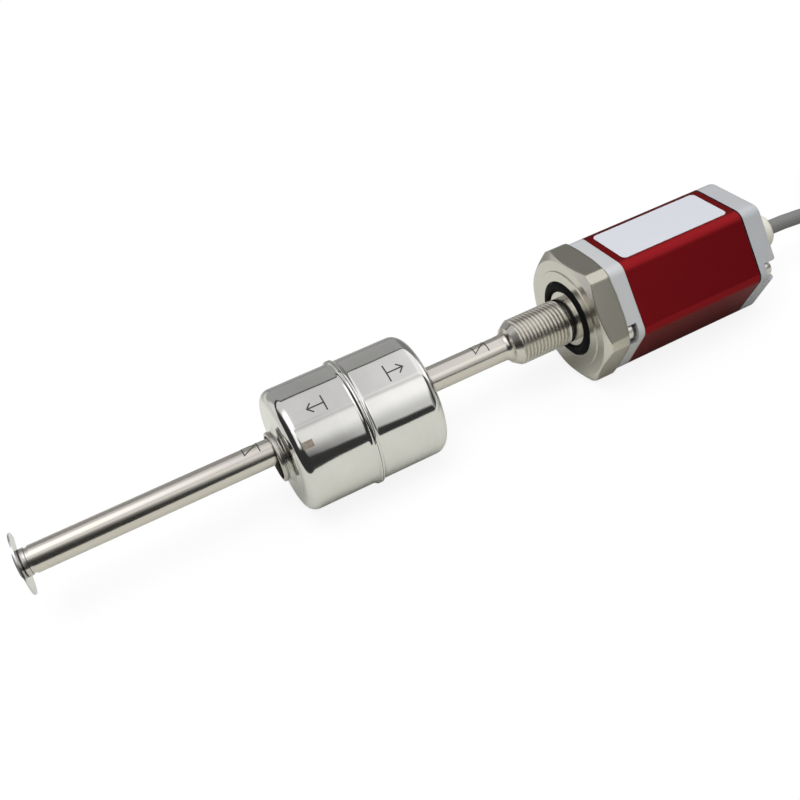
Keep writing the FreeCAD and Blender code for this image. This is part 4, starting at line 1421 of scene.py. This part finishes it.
class Sky:
    """The studio's light by its direction: panels with soft edges.

    The edges are given in x, the direction's share along the sensor, and in turn, its angle about the sensor in
    degrees: 0 is straight above, 90 level in front of the sensor and -90 level behind it.
    """

    def __init__(self, sh: Shader) -> None:
        """Takes the direction apart and outlines the panel above.

        Args:
            sh: The world's shader.
        """
        self.x, y, self.z = sh.parts(sh.node("TexCoord", output="Generated"))
        self.turn = sh.maths("ARCTAN2", -y, self.z) * degrees(1.0)
        self.left = self.x.rise(0.18, -0.05)
        rear_edge = (self.turn + 42.0 + self.left * 4.0).rise(-0.6, 0.6)
        self.above = rear_edge * self.turn.rise(24.0, 17.0) * self.x.rise(-0.7, -0.45)

    def overhead(self) -> Field:
        """Gives the panel above, brighter over the rod's front and over the head."""
        return self.above * (0.76 + self.turn.rise(-28.0, -10.0) * self.left + self.x.rise(0.2, 0.4) * 0.36)

    def front(self) -> Field:
        """Gives the panel in front, which reaches lower towards the head and fades downwards and to its ends.

        Returns:
            The panel's strength.
        """
        x, turn = self.x, self.turn
        outline = turn.rise(14.0, 30.0) * (66.0 + x * 55.0 - turn).rise(-1.5, 3.0)
        fade = 1.0 - turn.rise(42.0, 74.0) * (0.45 + x.rise(0.24, 0.14) * 0.4)
        flange = 0.9 + x.rise(0.17, 0.27) * 0.25
        left_end = (x + 0.33 - turn.rise(22.0, 55.0) * 0.36).rise(-0.15, 0.15)
        right_end = x.rise(0.72, 0.56)
        low_head = 1.0 - turn.rise(50.0, 72.0) * x.rise(0.3, 0.44) * 0.6
        far_head = 1.0 - turn.rise(38.0, 60.0) * x.rise(0.44, 0.54) * 0.5
        return outline * fade * flange * left_end * right_end * low_head * far_head

    def side(self) -> Field:
        """Gives the small panel in front of the rod's tip."""
        x, turn = self.x, self.turn
        return turn.rise(14.0, 22.0) * turn.rise(60.0, 48.0) * x.rise(-0.18, -0.3) * x.rise(-0.7, -0.55) * 1.2

    def seam(self) -> Field:
        """Gives the dim seam between the panels above and in front."""
        return self.turn.rise(13.5, 17.0) * self.turn.rise(20.5, 17.0) * self.x.rise(0.24, 0.18) * 0.22

    def wall(self) -> Field:
        """Gives the grey wall behind, brighter at the rod's tip and darker at the head.

        Returns:
            The wall's strength.
        """
        outline = (self.x * 9.0 - 46.5 - self.left * 4.0 - self.turn).rise(0.0, 0.9)
        reach = 1.0 - self.x.rise(-0.74, -0.86) * self.turn.rise(-73.0, -66.0)
        return outline * reach * (0.37 + self.x.rise(-0.42, -0.58) * 0.45 - self.x.rise(0.33, 0.46) * 0.17)

    def right(self) -> Field:
        """Gives the panel past the sensor's head."""
        return self.x.rise(0.8, 0.93) * self.z.rise(-0.02, 0.02) * 0.4

    def level(self) -> Field:
        """Adds the panels up."""
        large = (self.overhead() + self.front() * 1.08) * (1.0 - self.seam())
        return 0.04 + large + self.wall() + self.side() + self.right()


@dataclass
class Studio:
    """A white sheet, soft panels of light and the camera at the photograph's angle."""

    lens: float = 46.369
    sensor: float = 36.0
    clip: Pair = (0.01, 50.0)
    camera_at: Point = (-0.17011, -0.28009, 0.22886)
    right: Point = (0.88026, -0.44404, -0.16724)
    up: Point = (0.39782, 0.49856, 0.77018)
    ahead: Point = (0.25861, 0.74449, -0.61551)
    floor_x: float = 77.5
    floor_z: float = -23.0
    sheet_edge: tuple[Pair, ...] = (
        (-2600.0, -105.0), (-200.0, -112.0), (-95.0, -180.0), (40.0, -600.0), (2600.0, -600.0), (2600.0, 2600.0),
        (-2600.0, 2600.0))
    paper: tuple[Colour, Colour] = ((0.71, 0.715, 0.665), (0.74, 0.745, 0.69))
    paper_grain: float = 900.0
    # painted shadow: the colour and share that darken the sheet under the head
    painted_shadow_under_head: Colour = (0.1, 0.1, 0.1)
    painted_shadow_under_head_share: float = 0.34
    # painted shade: the grey the sheet turns to behind the sensor
    behind: Colour = (0.34, 0.34, 0.335)
    to_camera: Colour = (0.97, 0.97, 0.97)
    shadow: float = 0.13
    sky_tint: Colour = (0.99, 0.985, 1.01)
    key_power: float = 4.6
    key_size: float = 0.7
    key_at: Point = (-0.25, -0.25, 1.0)
    key_aim: Point = (-0.02, 0.0, 0.0)

    def build(self) -> None:
        """Sets up the camera, the sheet, the lamp and the panels."""
        bpy.context.scene.view_settings.view_transform = "Standard"
        self._camera()
        self._sheet()
        self._key()
        self._panels()

    def _camera(self) -> None:
        """Puts the camera where the photograph was taken."""
        data = bpy.data.cameras.new("photo_camera")
        data.lens, data.sensor_width, data.sensor_fit = self.lens, self.sensor, "HORIZONTAL"
        data.clip_start, data.clip_end = self.clip
        camera = shown("photo_camera", data)
        turn = Matrix((self.right, self.up, tuple(-c for c in self.ahead))).transposed()
        camera.matrix_world = Matrix.Translation(self.camera_at) @ turn.to_4x4()
        bpy.context.scene.camera = camera

    def _sheet(self) -> None:
        """Lays the white sheet under the sensor, tilted as the sensor comes to rest on it."""
        data = bpy.data.meshes.new("white_sheet")
        edge = [metres((x, y, self.floor_z + (x - self.floor_x) * GROUND_SLOPE)) for x, y in self.sheet_edge]
        data.from_pydata(edge, [], [range(len(edge))])
        data.materials.append(self._sheet_material())
        shown("white_sheet", data)

    def _sheet_material(self) -> bpy.types.Material:
        """Makes the sheet: white to the camera with a faint shadow, a warm pale grey to what it lights, with painted
        shadow under the head and painted shade behind the sensor in that grey.

        Returns:
            The material.
        """
        made = bpy.data.materials.new("white_sheet")
        made.use_nodes = True
        sh = Shader(made.node_tree)
        place, seen = sh.place(), sh.seen()
        x, y, _ = sh.parts(place)
        paper = sh.blend(sh.noise(place, self.paper_grain, 3.0), *self.paper)
        # painted shadow: the sheet is darkened under and beside the head, standing in for the head's shadow in what the
        # head reflects
        head = x.rise(0.012, 0.035) * y.rise(-0.13, -0.09) * y.rise(0.08, 0.05)
        paper = sh.blend(head * self.painted_shadow_under_head_share, paper, self.painted_shadow_under_head)
        # painted shade: the sheet turns grey behind the sensor, standing in for the shade there in what the float and
        # rod reflect
        paper = sh.blend(y.rise(0.07, 0.14) * x.rise(-0.2, -0.12), paper, self.behind)
        matt = sh.node("BsdfDiffuse", inputs={"Color": sh.blend(seen, paper, self.to_camera)})
        white = sh.node("Emission", inputs={"Color": WHITE, "Strength": 1.0})
        around = y.rise(-0.1, -0.05) * y.rise(0.25, 0.1)
        surface = sh.node("MixShader", inputs={0: seen * (1.0 - around * self.shadow), 1: matt, 2: white})
        sh.node("OutputMaterial", inputs={"Surface": surface})
        return made

    def _key(self) -> None:
        """Hangs the soft key lamp over the sensor."""
        data = bpy.data.lights.new("key_lamp", "AREA")
        data.shape, data.size, data.energy = "DISK", self.key_size, self.key_power
        lamp = shown("key_lamp", data)
        lamp.location = self.key_at
        lamp.rotation_euler = (Vector(self.key_aim) - lamp.location).to_track_quat("-Z", "Y").to_euler()
        lamp.visible_glossy = False

    def _panels(self) -> None:
        """Sets the light panels round the sensor, behind a background that is white to the camera."""
        world = bpy.data.worlds.new("studio_panels")
        world.use_nodes = True
        bpy.context.scene.world = world
        sh = Shader(world.node_tree)
        sky = Sky(sh)
        tint = sh.blend(sky.above, WHITE[:3], self.sky_tint)
        studio = sh.node("Background", inputs={"Color": tint, "Strength": sky.level()})
        white = sh.node("Background", inputs={"Color": WHITE, "Strength": 1.0})
        surface = sh.node("MixShader", inputs={0: sh.seen(), 1: studio, 2: white})
        sh.node("OutputWorld", inputs={"Surface": surface})


def main() -> None:
    """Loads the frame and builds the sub-assemblies in order."""
    logging.basicConfig(level=logging.INFO, format="%(name)s: %(message)s")
    for spare in list(bpy.data.objects):
        bpy.data.objects.remove(spare)
    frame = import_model()
    Studio().build()
    for assembly in (Cable, Rod, Float, Flange, Housing, Inside):
        assembly(frame).build()


if __name__ == "__main__":
    main()
